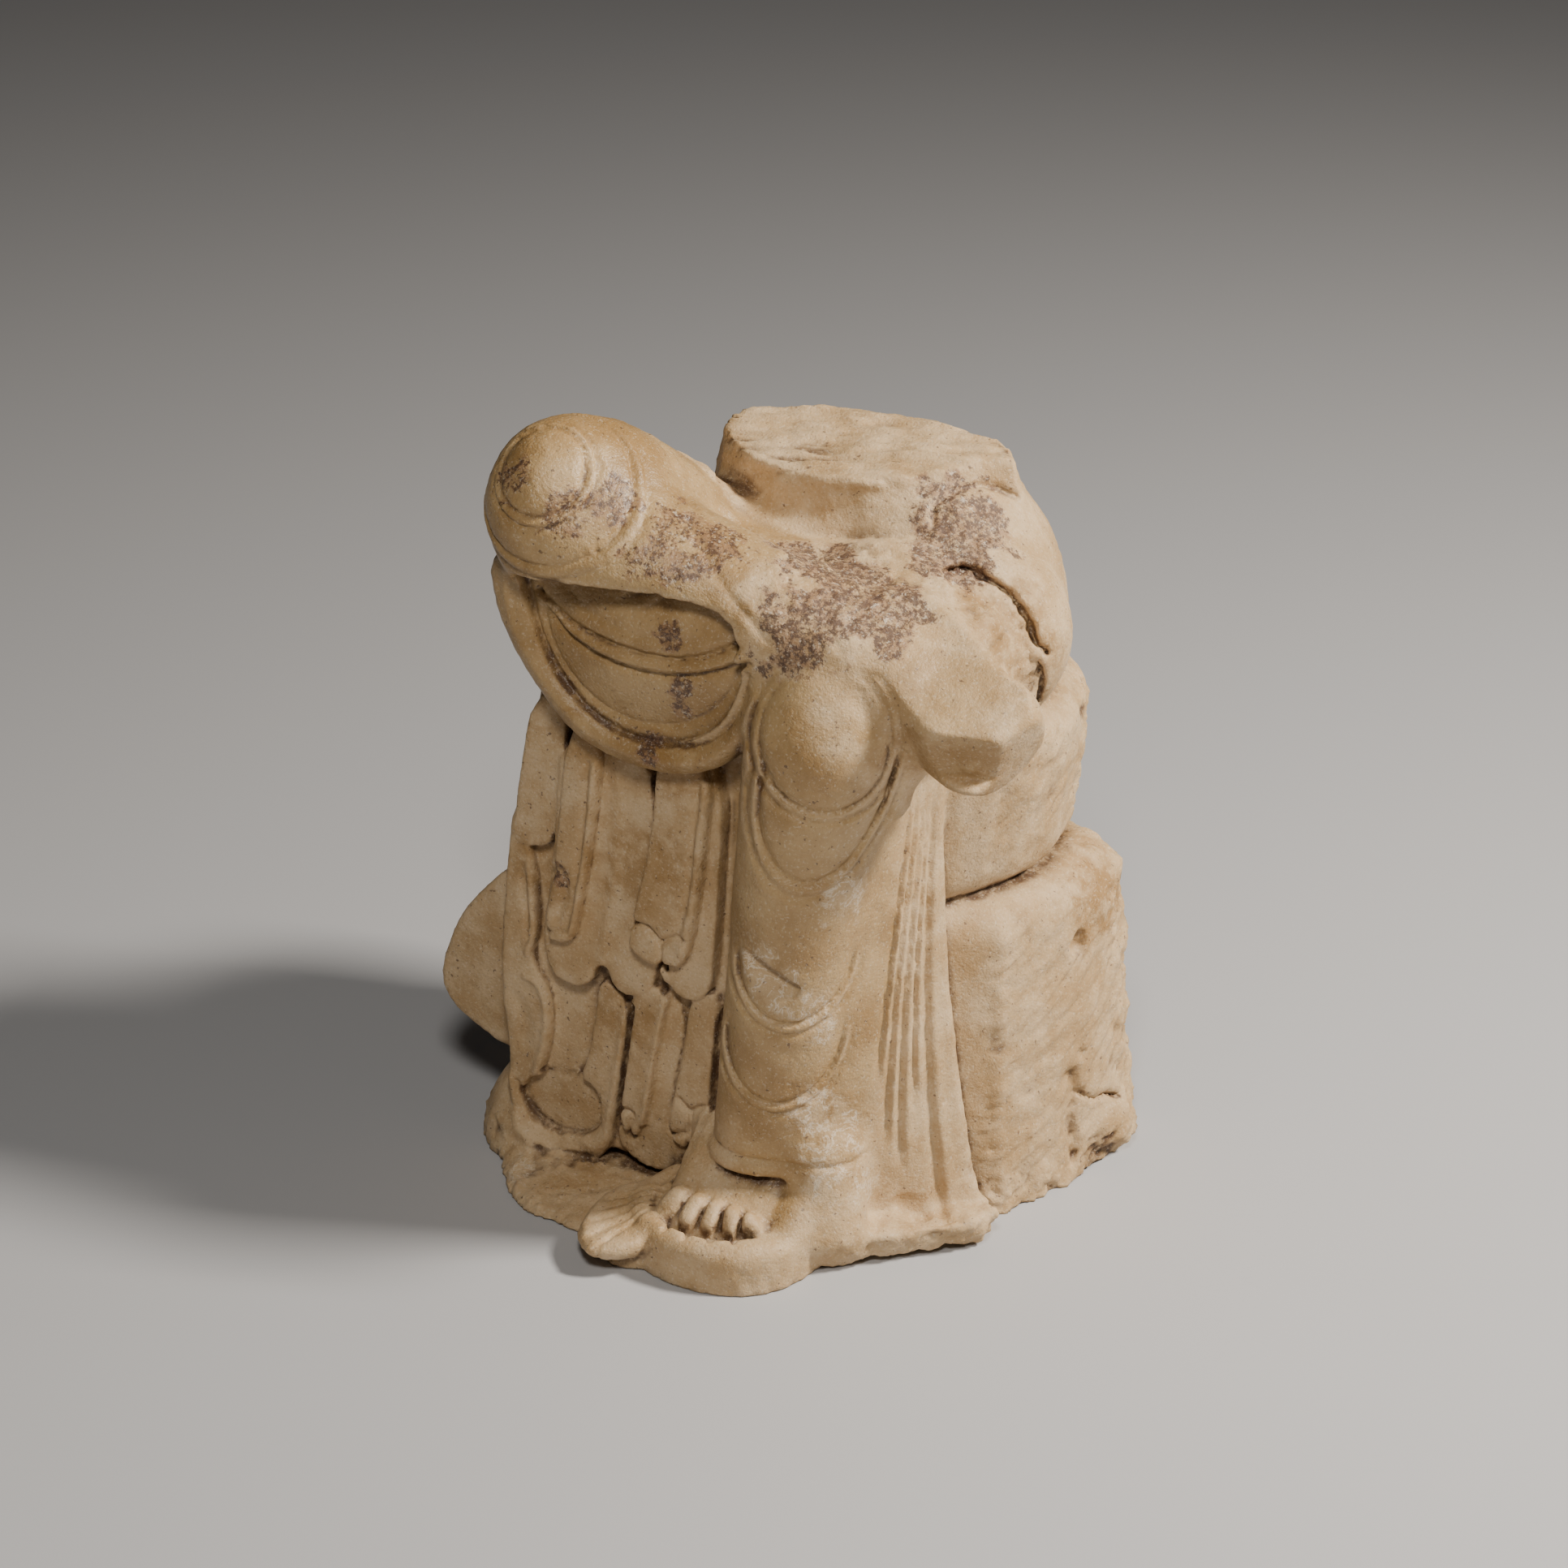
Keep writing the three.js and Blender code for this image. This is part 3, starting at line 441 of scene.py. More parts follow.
block.add(ball((-25, -74, 0), (13, 15, 14)), 2)
block.add(plate(BUD_OUTLINE, 5.5, 14, 4, lean=-0.15, tilt=(0.12, 0.12)), 1.5)
block.add(plate(FOOT_OUTLINE, 6, 29, 6, passes=2, lean=0.10, tilt=(-0.10, 0.68)), 2)
for root, tip, end, radius in TOES:
    block.add(limb((root, -70, 19.5), (tip, end + radius, 15.5 + radius / 3), radius, radius), 2)
block.add(limb((26, -42, 34), (34, -49, 12), 14, 10), 6)
block.add(drum((4.8, -44), 18.8, 17.6, HEM - 1, HEM + 4, 2.1, 1.5), 1)

# %% [markdown]
# ## Chisel lines
# The finest carving is only a millimetre deep: rings round the raised knee, U-shaped lines down the
# hanging leg, folds in the skirt and the rolled rims of the cloth. Each is a groove whose depth falls
# off from a curve as a bell, so all that a line needs is its distance, and that comes from the
# simplest figure that has the shape: a sphere, half an ellipse, or a short bent line.

# %% Rings round the raised knee
def smooth_step(t):
    """Rises from 0 to 1 as 3 t^2 - 2 t^3."""
    t = clamp01(t)
    return t * t * (3 - 2 * t)


RING_CENTRE = (-60.6, -80.5, 276.5)
RINGS = [(29.7, 3.0, 1.0), (44.3, 4.6, 0.8), (64.3, 4.6, 0.45)]     # radius, gap to the second line, depth


def knee_rings(x, y, z):
    """Spheres round one point cut the knee in rings; two grooves with a low ridge between them."""
    away = np.sqrt((x - RING_CENTRE[0]) ** 2 + (y - RING_CENTRE[1]) ** 2 + (z - RING_CENTRE[2]) ** 2)
    depth = 0
    for radius, gap, deep in RINGS:
        depth = depth + groove(away - radius, 0.8, 1.5 * deep) + groove(away - radius - gap, 0.8, 1.2 * deep)
        depth = depth - groove(away - radius - gap / 2, gap / 2, 0.5 * deep)
    above_cloth = clamp01((z - 222 + 0.25 * (x + 60)) / 6)
    return depth * above_cloth * clamp01((-x - 14) / 12) * clamp01((10 - y) / 20)


block.press(knee_rings, (-104, -82, 205), (4, 12, 284))

# %% Lines down the hanging leg
OBLIQUE = math.radians(30)
VIEW_RIGHT = (math.cos(OBLIQUE), math.sin(OBLIQUE), 0.0)
VIEW_UP = (-0.211, 0.366, 0.906)
KNEE_OVAL = (0.8, 144.6, 20.0, 22.5)     # middle, height, half width and half height, as the viewer sees it
HEM_LINE = HEM + 5.5
LEG_LEAN, LEG_Y = 0.146, -44             # the leg's middle: x = lean times z, and its y
TO_VIEWER = (0.5, -0.866)                # towards the viewer, seen from above
LEG_LINES = [   # middle, bottom, half width, height of the bowl, lean, height at which it fades
    (-5.0, 143.5, 20.0, 34.0, 0.20, 186),
    (-10.0, 90.5, 18.0, 22.0, 0.10, 118),
    (-14.0, 59.5, 18.0, 22.0, 0.12, 90),
]


def seen(x, y, z):
    """Where a point lies to the viewer's right and upwards, in mm."""
    s = x * VIEW_RIGHT[0] + y * VIEW_RIGHT[1] + z * VIEW_RIGHT[2]
    return s, x * VIEW_UP[0] + y * VIEW_UP[1] + z * VIEW_UP[2]


def bowl_distance(u, v, middle, bottom, half, height, lean):
    """Distance to a U: half an ellipse below, two straight sides above, about a leaning middle."""
    across = np.abs(u - middle - lean * (v - bottom))
    below = np.minimum(v - bottom - height, 0)
    bowl = (np.hypot(across / half, below / height) - 1) * min(half, height)
    return np.where(below < 0, bowl, across - half)


def leg_lines(x, y, z):
    """Us across the leg on u = x cos 30 + y sin 30, which fade where the leg turns from the viewer."""
    u = x * math.cos(OBLIQUE) + y * math.sin(OBLIQUE)
    depth = 0
    for middle, bottom, half, height, lean, fades in LEG_LINES:
        away = bowl_distance(u, z, middle, bottom, half, height, lean)
        line = groove(away, 0.9, 1.5) + groove(away - 3.3, 0.8, 1.1) - groove(away - 1.6, 1.2, 0.4)
        depth = depth + line * clamp01((fades - z) / 10)
    s, t = seen(x, y, z)
    oval = (np.hypot((s - KNEE_OVAL[0]) / KNEE_OVAL[2], (t - KNEE_OVAL[1]) / KNEE_OVAL[3]) - 1) * KNEE_OVAL[2]
    depth = depth + (groove(oval, 0.8, 1.5) + groove(oval - 3.0, 0.8, 1.2)) * clamp01((172 - t) / 30)
    depth = depth + groove(z - HEM_LINE, 0.9, 1.2)
    facing = TO_VIEWER[0] * (x - LEG_LEAN * z) + TO_VIEWER[1] * (y - LEG_Y)
    return depth * clamp01((-y - 34) / 8) * clamp01(facing / 4)


block.press(leg_lines, (-16, -76, 36), (62, -34, 212))

# %% Folds of the skirt
SKIRT_FOLDS = [   # share below, share above, bend, height at which it fades, width
    (0.44, 0.62, 1.4, 58, 0.9), (0.54, 0.71, 1.8, 34, 1.0), (0.63, 0.79, 2.0, 24, 1.1),
    (0.73, 0.86, 2.0, 48, 0.8), (0.84, 0.93, 2.0, 4, 1.3),
]


def skirt_folds(x, y, z):
    """Lines of equal share between leg and border, which drifts with height as share^bend."""
    along, away = skirt_place(x, y, z)
    up = clamp01((z - 20) / 125)
    depth = 0
    for below, above, bend, fades, width in SKIRT_FOLDS:
        across = (along - below - (above - below) * up ** bend) * 42
        line = groove(across, width, 1.6) - groove(across - 2 * width, 1.3 * width, 0.9)
        depth = depth + line * smooth_step((z - fades) / 14)
    return depth * clamp01((165 - z) / 30) * clamp01((8 - np.abs(away)) / 3)


block.press(skirt_folds, (-5, -70, 0), (76, 4, 165))

# %% Toes and petals
TOE_LINES = [[(-8.4, -67.5), (-9.9, -84)], [(-1.6, -68.5), (-1.7, -85)], [(4.6, -68.5), (6.2, -83)],
             [(11.2, -68.5), (13.6, -80)]]
PETAL_LINES = [[(-22, -61), (-40, -73)], [(-21, -64), (-40, -79)], [(-21, -67), (-38, -86)],
               [(-21, -71), (-34, -92)], [(-21, -76), (-28, -96)]]


def plan_lines(lines, width, deep, low, high):
    """Grooves along straight lines seen from above, between two heights."""
    def depth(x, y, z):
        total = sum(groove(line_distance(line, x, y), width, deep) for line in lines)
        return total * clamp01((z - low) / 2) * clamp01((high - z) / 2)
    return depth


block.press(plan_lines(TOE_LINES, 0.8, 1.5, 13, 32), (-22, -90, 12), (24, -60, 33))
block.press(plan_lines(PETAL_LINES, 0.9, 0.9, 3, 20), (-46, -100, 2), (-18, -58, 21))

# %% [markdown]
# The lines on the hanging cloth are short bent lines, drawn from the front. A line with a negative
# depth is a ridge: the swag has a rolled rim between two grooves, and every pleat ends in a hem that
# folds back on itself like a hook.

# %% Lines drawn from the front
SWAG_LINES = [   # line, width, depth
    ([(-82, 222), (-80, 205), (-69, 188), (-54, 173.5), (-33, 168.5), (-12, 171), (2, 181), (10, 200)],
     2.2, -1.3),
    ([(-76, 222), (-71, 201), (-62, 186), (-47, 175.5), (-29, 173), (-11, 177), (2, 188), (7, 206)],
     1.0, 1.6),
    ([(-71, 218), (-66, 199), (-58, 188), (-44, 180), (-29, 179), (-14, 184), (-3, 194), (3, 206)], 0.9, 1.1),
    ([(-72, 217), (-58, 209), (-40, 205.5), (-19, 205), (-8, 208), (4, 215)], 1.0, 2.0),
    ([(-70, 214.5), (-56, 206), (-38, 202), (-19, 202), (-6, 205), (6, 212)], 1.6, -1.4),
    ([(-68, 212), (-55, 203), (-37, 199), (-19, 199.5), (-5, 203), (8, 210)], 1.0, 1.8),
    ([(-62, 221), (-48, 213), (-30, 210.5), (-14, 212)], 1.2, 0.6),
]
PLEAT_LINES = [
    ([(-55.2, 158), (-58.3, 131), (-62, 113), (-65.8, 95)], 1.3, -1.2),
    ([(-57.8, 158), (-60.8, 131), (-64, 112), (-67.5, 96), (-71, 93.5), (-76, 92.5)], 0.9, 1.1),
    ([(-74, 113), (-70, 118), (-67, 112), (-69, 104), (-72, 98)], 1.6, 1.4),
    ([(-48, 160), (-49.4, 124), (-53.8, 99), (-56.7, 84)], 2.0, -0.8),
    ([(-13.3, 160), (-16.4, 134), (-19.3, 113), (-23.5, 98)], 1.3, -1.2),
    ([(-16, 160), (-18.8, 134), (-21.6, 113), (-25, 104)], 0.9, 1.1),
    ([(-43, 104), (-36.7, 104.7), (-34.3, 103), (-31.3, 99.6), (-27.5, 103), (-22.6, 103)], 1.1, 2.2),
    ([(-31.3, 99.6), (-31.6, 93), (-31.5, 88)], 0.9, 1.8),
    ([(-33.3, 88), (-32, 79.5), (-34, 69.5), (-36, 61.6), (-39, 43.6), (-42.4, 26)], 1.2, -1.5),
    ([(-85.3, 113), (-84.8, 99), (-84, 90), (-87.5, 79)], 1.2, -1.4),
    ([(-88, 108), (-87.5, 96), (-87, 84)], 1.0, 1.2),
    ([(-89, 70), (-83, 69), (-80.3, 60), (-81, 48), (-85.5, 34)], 1.4, -1.3),
    ([(-92, 60), (-89, 52), (-90, 44)], 2.5, 1.0),
    ([(-96, 29), (-94, 16), (-87.5, 9.5), (-76, 7.5), (-65, 9.5), (-58, 16)], 1.8, -1.2),
    ([(-93.5, 28), (-91, 17.5), (-84, 13), (-74.8, 11.2), (-66, 14), (-60.5, 21)], 0.9, 1.2),
    ([(-48.8, 68), (-51.8, 50), (-55.5, 31), (-57.5, 18)], 1.3, -1.1),
    ([(-61, 72), (-63.3, 58.8), (-65, 48.4), (-68, 37.7)], 1.1, 1.6),
    ([(-46, 70), (-48.1, 57.3), (-51.1, 37.9), (-53.5, 22)], 1.0, 2.0),
    ([(-52.2, 29.4), (-47.7, 30.1), (-46.1, 28.4), (-48.8, 23.5), (-47.6, 20.1)], 0.9, 1.8),
    ([(-24.8, 76), (-28.1, 56.7), (-31.5, 39.7), (-34.2, 29), (-32.4, 24.3), (-27.3, 27)], 1.0, 1.8),
    ([(-28.4, 39.4), (-24.4, 35.6), (-18.9, 39.6)], 1.2, 2.0),
    ([(-24, 35), (-24.7, 28), (-26.2, 16.3)], 0.9, 1.8),
    ([(-9, 160), (-10, 132), (-12.2, 96), (-14, 72), (-17, 30)], 1.2, 1.0),
]
CLOTH_BACK = -36
SWAG_BACK = -44


def front_lines(lines, back):
    """Grooves along bent lines seen from the front, on faces that lie further forward than back."""
    smooth = [(rounded(line, 2, closed=False), width, depth) for line, width, depth in lines]

    def depth(x, y, z):
        total = 0
        for line, width, deep in smooth:
            total = total + groove(line_distance(line, x, z), width, deep)
        return total * clamp01((back - y) / 4)
    return depth


block.press(front_lines(SWAG_LINES, SWAG_BACK), (-92, -68, 160), (16, SWAG_BACK, 232))
block.press(front_lines(PLEAT_LINES, CLOTH_BACK), (-102, -60, 4), (-4, CLOTH_BACK, 164))

# %% [markdown]
# ## Marks of damage
# The remaining marks are placed on the plane that the viewer sees: s runs to the viewer's right, and
# t upwards, for a viewer 30 degrees to the right of the front and 25 degrees above it. The hip has a
# deep crack with a low broken field on its left, the lap ends in a small ledge under the waist, the
# hanging shin has lost a chip, and the stool is cracked at its right corner and has small holes.

# %% Crack, ledge and chips
CRACK = [(38.5, 196.5), (45, 199), (51, 194.5), (58, 191), (62.5, 185), (66, 179.5), (67, 174.5), (70.5, 172)]
CRACK_FOOT = [(68, 169.5), (69.7, 163.5), (68.8, 157)]
HIP_HEM = [(35, 212), (36, 217), (39, 221), (44.5, 223.8), (53.7, 225.4), (62, 221.8)]
LEDGE = [(-30, 219), (-26, 214.6), (-18, 208.4), (-3, 206.8), (12.4, 206.2), (24, 205.4), (34, 206)]
BROKEN_FIELD = [(39, 196.5)] + CRACK[1:7] + [(69, 166), (67, 158), (60, 160), (50, 170), (42, 184)]
LAP_CREASE = [(-42, 214), (-36, 200), (-28, 188), (-16, 174)]
CORNER_CRACK = [(88, 26.5), (93, 24.0), (97, 25.5), (102, 24)]
CORNER_PITS = [(84.5, 33), (85.5, 24), (84, 17), (86, 9), (85, 2)]


def hip_damage(x, y, z):
    """A step down inside the broken field, a crack along its upper edge, and the hem of the hip."""
    s, t = seen(x, y, z)
    depth = 3.2 * smooth_step((2.5 - outline_distance(rounded(BROKEN_FIELD, 1), s, t)) / 6)
    depth = depth + groove(line_distance(rounded(CRACK, 1, closed=False), s, t), 1.1, 3.2)
    depth = depth + groove(line_distance(CRACK_FOOT, s, t), 0.9, 2.2)
    depth = depth + groove(line_distance(rounded(HIP_HEM, 2, closed=False), s, t), 1.4, 1.8)
    return depth * clamp01((y + 34) / 6) * clamp01((x - 20) / 6)


def lap_marks(x, y, z):
    """The ledge is a groove above and a low ridge below it; the crease is a broad shallow groove."""
    s, t = seen(x, y, z)
    ledge = rounded(LEDGE, 2, closed=False)
    depth = groove(line_distance(ledge + (0, 2.2), s, t), 2.0, 1.2)
    depth = depth - groove(line_distance(ledge, s, t), 1.5, 1.0)
    return depth + groove(line_distance(rounded(LAP_CREASE, 2, closed=False), s, t), 1.2, 0.8)


def corner_marks(x, y, z):
    """A crack across the stool's corner at the right, over a broad broken groove down it."""
    s, t = seen(x, y, z)
    depth = groove(line_distance(CORNER_CRACK, s, t), 0.9, 2.6)
    depth = depth + groove(line_distance(CORNER_PITS, s, t), 2.4, 2.6)
    return depth * clamp01((x - 50) / 10)


block.press(hip_damage, (26, -34, 182), (92, 40, 250))
block.press(corner_marks, (50, 0, 0), (98, 90, 90))
block.press(lap_marks, (-50, -62, 208), (40, 24, 246))
block.cut(slab((20, -70.5, 107), (10.5, 8, 6.5), 1.5, turned(-25, 32, 14)), 0.6)
block.cut(ball((52, -29, 14), (7, 5, 4), turned(0, 20, 30)), 1.5)
HOLES = [((76.5, 41, 87), 4.6), ((79.5, 41, 55), 1.8), ((79.5, 41, 46), 2.2), ((73, 23, 64), 1.6)]
for place, radius in HOLES:
    block.cut(ball(place, (radius, radius, radius)), 1)

# %% [markdown]
# ## From distances to a skin
# Every grid cube that holds both signs gets one point, at the mean of the crossings on its edges,
# and every grid edge whose ends differ in sign joins the four points around it into a face. That
# gives an even skin of quads that is closed wherever the grid's border lies outside the stone.

# %% The skin
def skin(values, low, cell):
    """Points in mm, and quads that face outwards."""
    inside = values < 0
    size = np.array(values.shape)
    corners = [(i, j, k) for i in (0, 1) for j in (0, 1) for k in (0, 1)]
    count = np.zeros(size - 1, np.int8)
    for i, j, k in corners:
        count += inside[i:size[0] - 1 + i, j:size[1] - 1 + j, k:size[2] - 1 + k]
    cubes = np.argwhere((count > 0) & (count < 8))
    number = np.full(size - 1, -1, np.int32)
    number[tuple(cubes.T)] = np.arange(len(cubes))
    at_corner = {c: values[tuple((cubes + c).T)] for c in corners}
    total, crossings = np.zeros((len(cubes), 3)), np.zeros(len(cubes))
    for c in corners:
        for axis in [a for a in range(3) if not c[a]]:
            other = tuple(1 if a == axis else c[a] for a in range(3))
            here, there = at_corner[c], at_corner[other]
            crossed = (here < 0) != (there < 0)
            place = np.repeat(np.array([c], float), len(cubes), 0)
            place[:, axis] += np.where(crossed, here / np.where(crossed, here - there, 1), 0)
            total += place * crossed[:, None]
            crossings += crossed
    points = low + (total / crossings[:, None] + cubes) * cell
    quads = []
    for axis in range(3):
        u, v = (axis + 1) % 3, (axis + 2) % 3
        first, second = [slice(1, -1)] * 3, [slice(1, -1)] * 3
        first[axis], second[axis] = slice(0, -1), slice(1, None)
        starts = inside[tuple(first)]
        edges = np.argwhere(starts != inside[tuple(second)])
        leaving = starts[tuple(edges.T)]
        edges[:, [u, v]] += 1
        around = []
        for du, dv in ((1, 1), (0, 1), (0, 0), (1, 0)):
            cube = edges.copy()
            cube[:, u] -= du
            cube[:, v] -= dv
            around.append(number[tuple(cube.T)])
        quad = np.stack(around, 1)
        quad[~leaving] = quad[~leaving][:, ::-1]
        quads.append(quad)
    return points, np.concatenate(quads)


_, _, _, heights = block.window(BLOCK_LOW, BLOCK_HIGH)
block.values = np.maximum(block.values, -heights).astype(np.float32)

# %% [markdown]
# ## Weathered stone
# Broken and weathered surfaces come from gradient noise: every corner of a lattice has a random
# direction, a point takes the products of those directions with its offsets from the eight corners
# around it, and blends them smoothly. Octaves of it, each half as large and half as strong, give a
# rough break. The noise moves the points of the skin along the slope of the field, a little
# everywhere and a lot where the stone is broken.

# %% Noise
SEED = 11
rng = np.random.default_rng(SEED)
DIRECTIONS = rng.normal(size=(4096, 3))
DIRECTIONS /= np.linalg.norm(DIRECTIONS, axis=1)[:, None]
PRIMES = np.array([73856093, 19349663, 83492791])


def noise(points, size, seed=0):
    """Gradient noise between about -1 and 1, with lattice cells of the given size in mm."""
    place = points / np.asarray(size, float)
    cell = np.floor(place).astype(np.int64)
    offset = place - cell
    blend = offset ** 3 * (offset * (offset * 6 - 15) + 10)
    total = np.zeros(len(points))
    for corner in np.ndindex(2, 2, 2):
        key = np.bitwise_xor.reduce((cell + corner) * PRIMES, axis=1) + 977 * seed
        weight = np.prod(np.where(corner, blend, 1 - blend), axis=1)
        total += weight * ((offset - corner) * DIRECTIONS[key & 4095]).sum(1)
    return 1.7 * total


def rough(points, size, octaves, seed=0):
    """Sum of noise / 2^i at size / 2^i."""
    size = np.asarray(size, float)
    return sum(noise(points, size / 2 ** i, seed + 31 * i) / 2 ** i for i in range(octaves))


# %% Reading the field
def field_at(points):
    """The stored distance at any point, by straight blends between the eight values around it."""
    place = (points - block.low) / block.cell
    place = np.clip(place, 0, block.size - 1.001)
    cell = place.astype(int)
    offset = place - cell
    total = np.zeros(len(points))
    for corner in np.ndindex(2, 2, 2):
        weight = np.prod(np.where(corner, offset, 1 - offset), axis=1)
        total += weight * block.values[tuple((cell + corner).T)]
    return total


def field_slope(points, step):
    """The outward direction: differences of the field over a step each way, made a unit."""
    steps = step * np.eye(3)
    slope = np.stack([field_at(points + move) - field_at(points - move) for move in steps], 1)
    return slope / np.maximum(np.linalg.norm(slope, axis=1), 1e-6)[:, None]

# %% [markdown]
# ## Where the stone is broken
# Each rough place is a ball of influence round a point in space, from 1 at its middle to 0 outside,
# with a ragged border because noise is added before it is cut off.

# %% Rough places
def near(points, centre, radii, ragged=0.35, size=9.0, seed=3):
    """1 inside the ball, 0 outside: (1.3 - scaled distance + ragged noise) clamped."""
    scaled = np.linalg.norm((points - centre) / np.asarray(radii, float), axis=1)
    return smooth_step((1.3 - scaled + ragged * rough(points, size, 3, seed)) / 0.45)


def waist_break(points):
    """1 on the broken waist: what lies above a slope that rises to the back, 0 elsewhere."""
    _, y, z = points.T
    return smooth_step((z - 0.15 * (y - 32) - WAIST_TOP + 4) / 3) * smooth_step((y + 8) / 6)


def damage(points):
    """How far each point sinks, in mm: waves and grain everywhere, breaks where the stone is broken."""
    x, y, z = points.T
    s, t = seen(x, y, z)
    stool = smooth_step((x - 58) / 6) * smooth_step((118 - z) / 6)
    seat = smooth_step((x - 40) / 6) * smooth_step((y - 6) / 8)
    seat = seat * smooth_step((z - 116) / 5) * smooth_step((182 - z) / 5)
    base = smooth_step((16 - z) / 6) * (1 - 0.8 * near(points, (-6, -68, 10), (44, 34, 26), 0.1))
    left = smooth_step((-x - 62) / 8) * smooth_step(y / 8) * smooth_step((190 - z) / 12)
    behind = np.maximum(smooth_step((y - 56) / 8) * (1 - 0.4 * smooth_step((z - 180) / 10)), 0.7 * left)
    field = smooth_step((3 - outline_distance(rounded(BROKEN_FIELD, 1), s, t)) / 3)
    field = field * smooth_step((x - 35) / 6)
    lap = near(points, (24, -30, 228), (24, 26, 16))
    patch = near(points, (42, 12, 236), (12, 14, 12))
    wave = rough(points, 24, 2, 1)
    lump = rough(points, 11, 3, 5)
    grain = rough(points, 3.2, 2, 9)
    sink = 0.35 * wave + 0.18 * grain
    top = waist_break(points)
    strata = rough(points @ np.array([[0.45, -0.26, 0], [0.5, 0.87, 0], [0, 0, 1]]), (9, 3.2, 9), 3, 21)
    sink = sink + top * (1.1 * strata + 0.9 * rough(points, 26, 2, 23))
    sink = sink + (1 - top) * smooth_step((z - 234) / 5) * smooth_step((y + 8) / 6) * 0.5 * lump
    tooling = rough(points @ turned(35, 25, 0), (17, 12, 2.2), 2, 41)
    sink = sink + stool * (0.6 * lump + 0.7 * tooling) + seat * (0.7 * lump + 0.5 * tooling)
    sink = sink + base * (1.0 * lump + 0.5 * grain) + behind * (1.2 * lump + 0.6 * tooling)
    sink = sink + field * (0.9 * lump + 0.5 * grain) + (lap + patch) * (0.35 * lump + 0.55 * grain)
    return sink


points, quads = skin(block.values, block.low, block.cell)
normal = field_slope(points, 1.2)
points = points - normal * damage(points)[:, None]
points[:, 2] = np.maximum(points[:, 2], 0)
print("skin:", len(points), "points,", len(quads), "quads")

# %% [markdown]
# ## The mesh
# The carved skin is moved to the solid model's own origin, turned into metres, and thinned with a
# Decimate modifier, which keeps points where the form bends and takes them from the flat sides.

# %% Mesh
shift = np.array([18.99, 0.55, 0.0])      # from the carving's middle to the solid's, in mm
print("box of the skin (mm):", np.round(points.min(0) + shift, 1), np.round(points.max(0) + shift, 1))
mesh = bpy.data.meshes.new("figure_skin")
mesh.from_pydata(((points + shift) * MM).tolist(), [], quads.tolist())
figure = bpy.data.objects.new("figure_stone", mesh)
bpy.context.collection.objects.link(figure)
thin = figure.modifiers.new("thin", "DECIMATE")
thin.ratio = min(1.0, TRIANGLES / (2 * len(quads)))
evaluated = figure.evaluated_get(bpy.context.evaluated_depsgraph_get())
thinned = bpy.data.meshes.new_from_object(evaluated)
flat = np.empty(3 * len(thinned.vertices), np.float32)
thinned.vertices.foreach_get("co", flat)
flat[2::3] = np.maximum(flat[2::3], 0)
thinned.vertices.foreach_set("co", flat)
figure.modifiers.clear()
figure.data = thinned
thinned.polygons.foreach_set("use_smooth", np.ones(len(thinned.polygons), bool))
print("thinned:", len(thinned.polygons), "faces")

# %% [markdown]
# ## Where the stone changes
# The colour follows the form and the damage. Each point of the thinned mesh gets six values between
# 0 and 1: how deep it lies in a hollow, how sharply it sticks out, how polished it is, and how much
# crust, brown stain and white abrasion it carries. The brown also paints shade under the broken stump,
# the hollow value paints shade into hollows, and the edge value paints highlight onto edges. Hollows and
# edges are read from the field: a short way outside the stone the distance is smaller than the way
# that was gone if more stone is near.

# %% Values on the points
def spread(points, places, radii, ragged=0.5, size=8.0, seed=5):
    """The largest influence of several rough places at every point."""
    return np.max([near(points, place, radii, ragged, size, seed) for place in places], axis=0)


CRUST_PLACES = [(10, -20, 233), (26, -26, 232), (40, -36, 226), (24, -46, 220), (44, 8, 232), (40, 18, 240)]
THIGH_PLACES = [(-42, -56, 254), (-26, -62, 237), (-24, -47, 247), (-13, -48, 243), (-8, -47, 241),
                (-16, -58, 237), (-51, -67, 249), (-71, -68, 258)]
BLOB_PLACES = [(-21, -58, 213), (-17, -58, 197), (-18, -57, 187), (-30, -58, 172), (-70, -50, 115)]
WORN_PLACES = [(15, -65, 109), (21, -63, 102), (31, -55, 93), (40, -53, 138), (28, -53, 54), (36, -47, 48),
               (34, -55, 37), (38, -44, 24), (-84, -60, 8)]
# Brown places: stains by the hip crack, on the cloth and on the stool. The two at (66, -50, 184) and (80,
# -50, 185) are painted shade on the underside of the broken stump.
STAIN_AND_SHADE_PLACES = [(66, 4, 214), (70, 8, 203), (60, -4, 214), (-62, -48, 168), (-20, -52, 166), (-78, -46, 112),
                (-44, -50, 120), (-30, -50, 128), (-50, -50, 66), (66, -50, 184), (80, -50, 185),
                (78, 54, 98)]


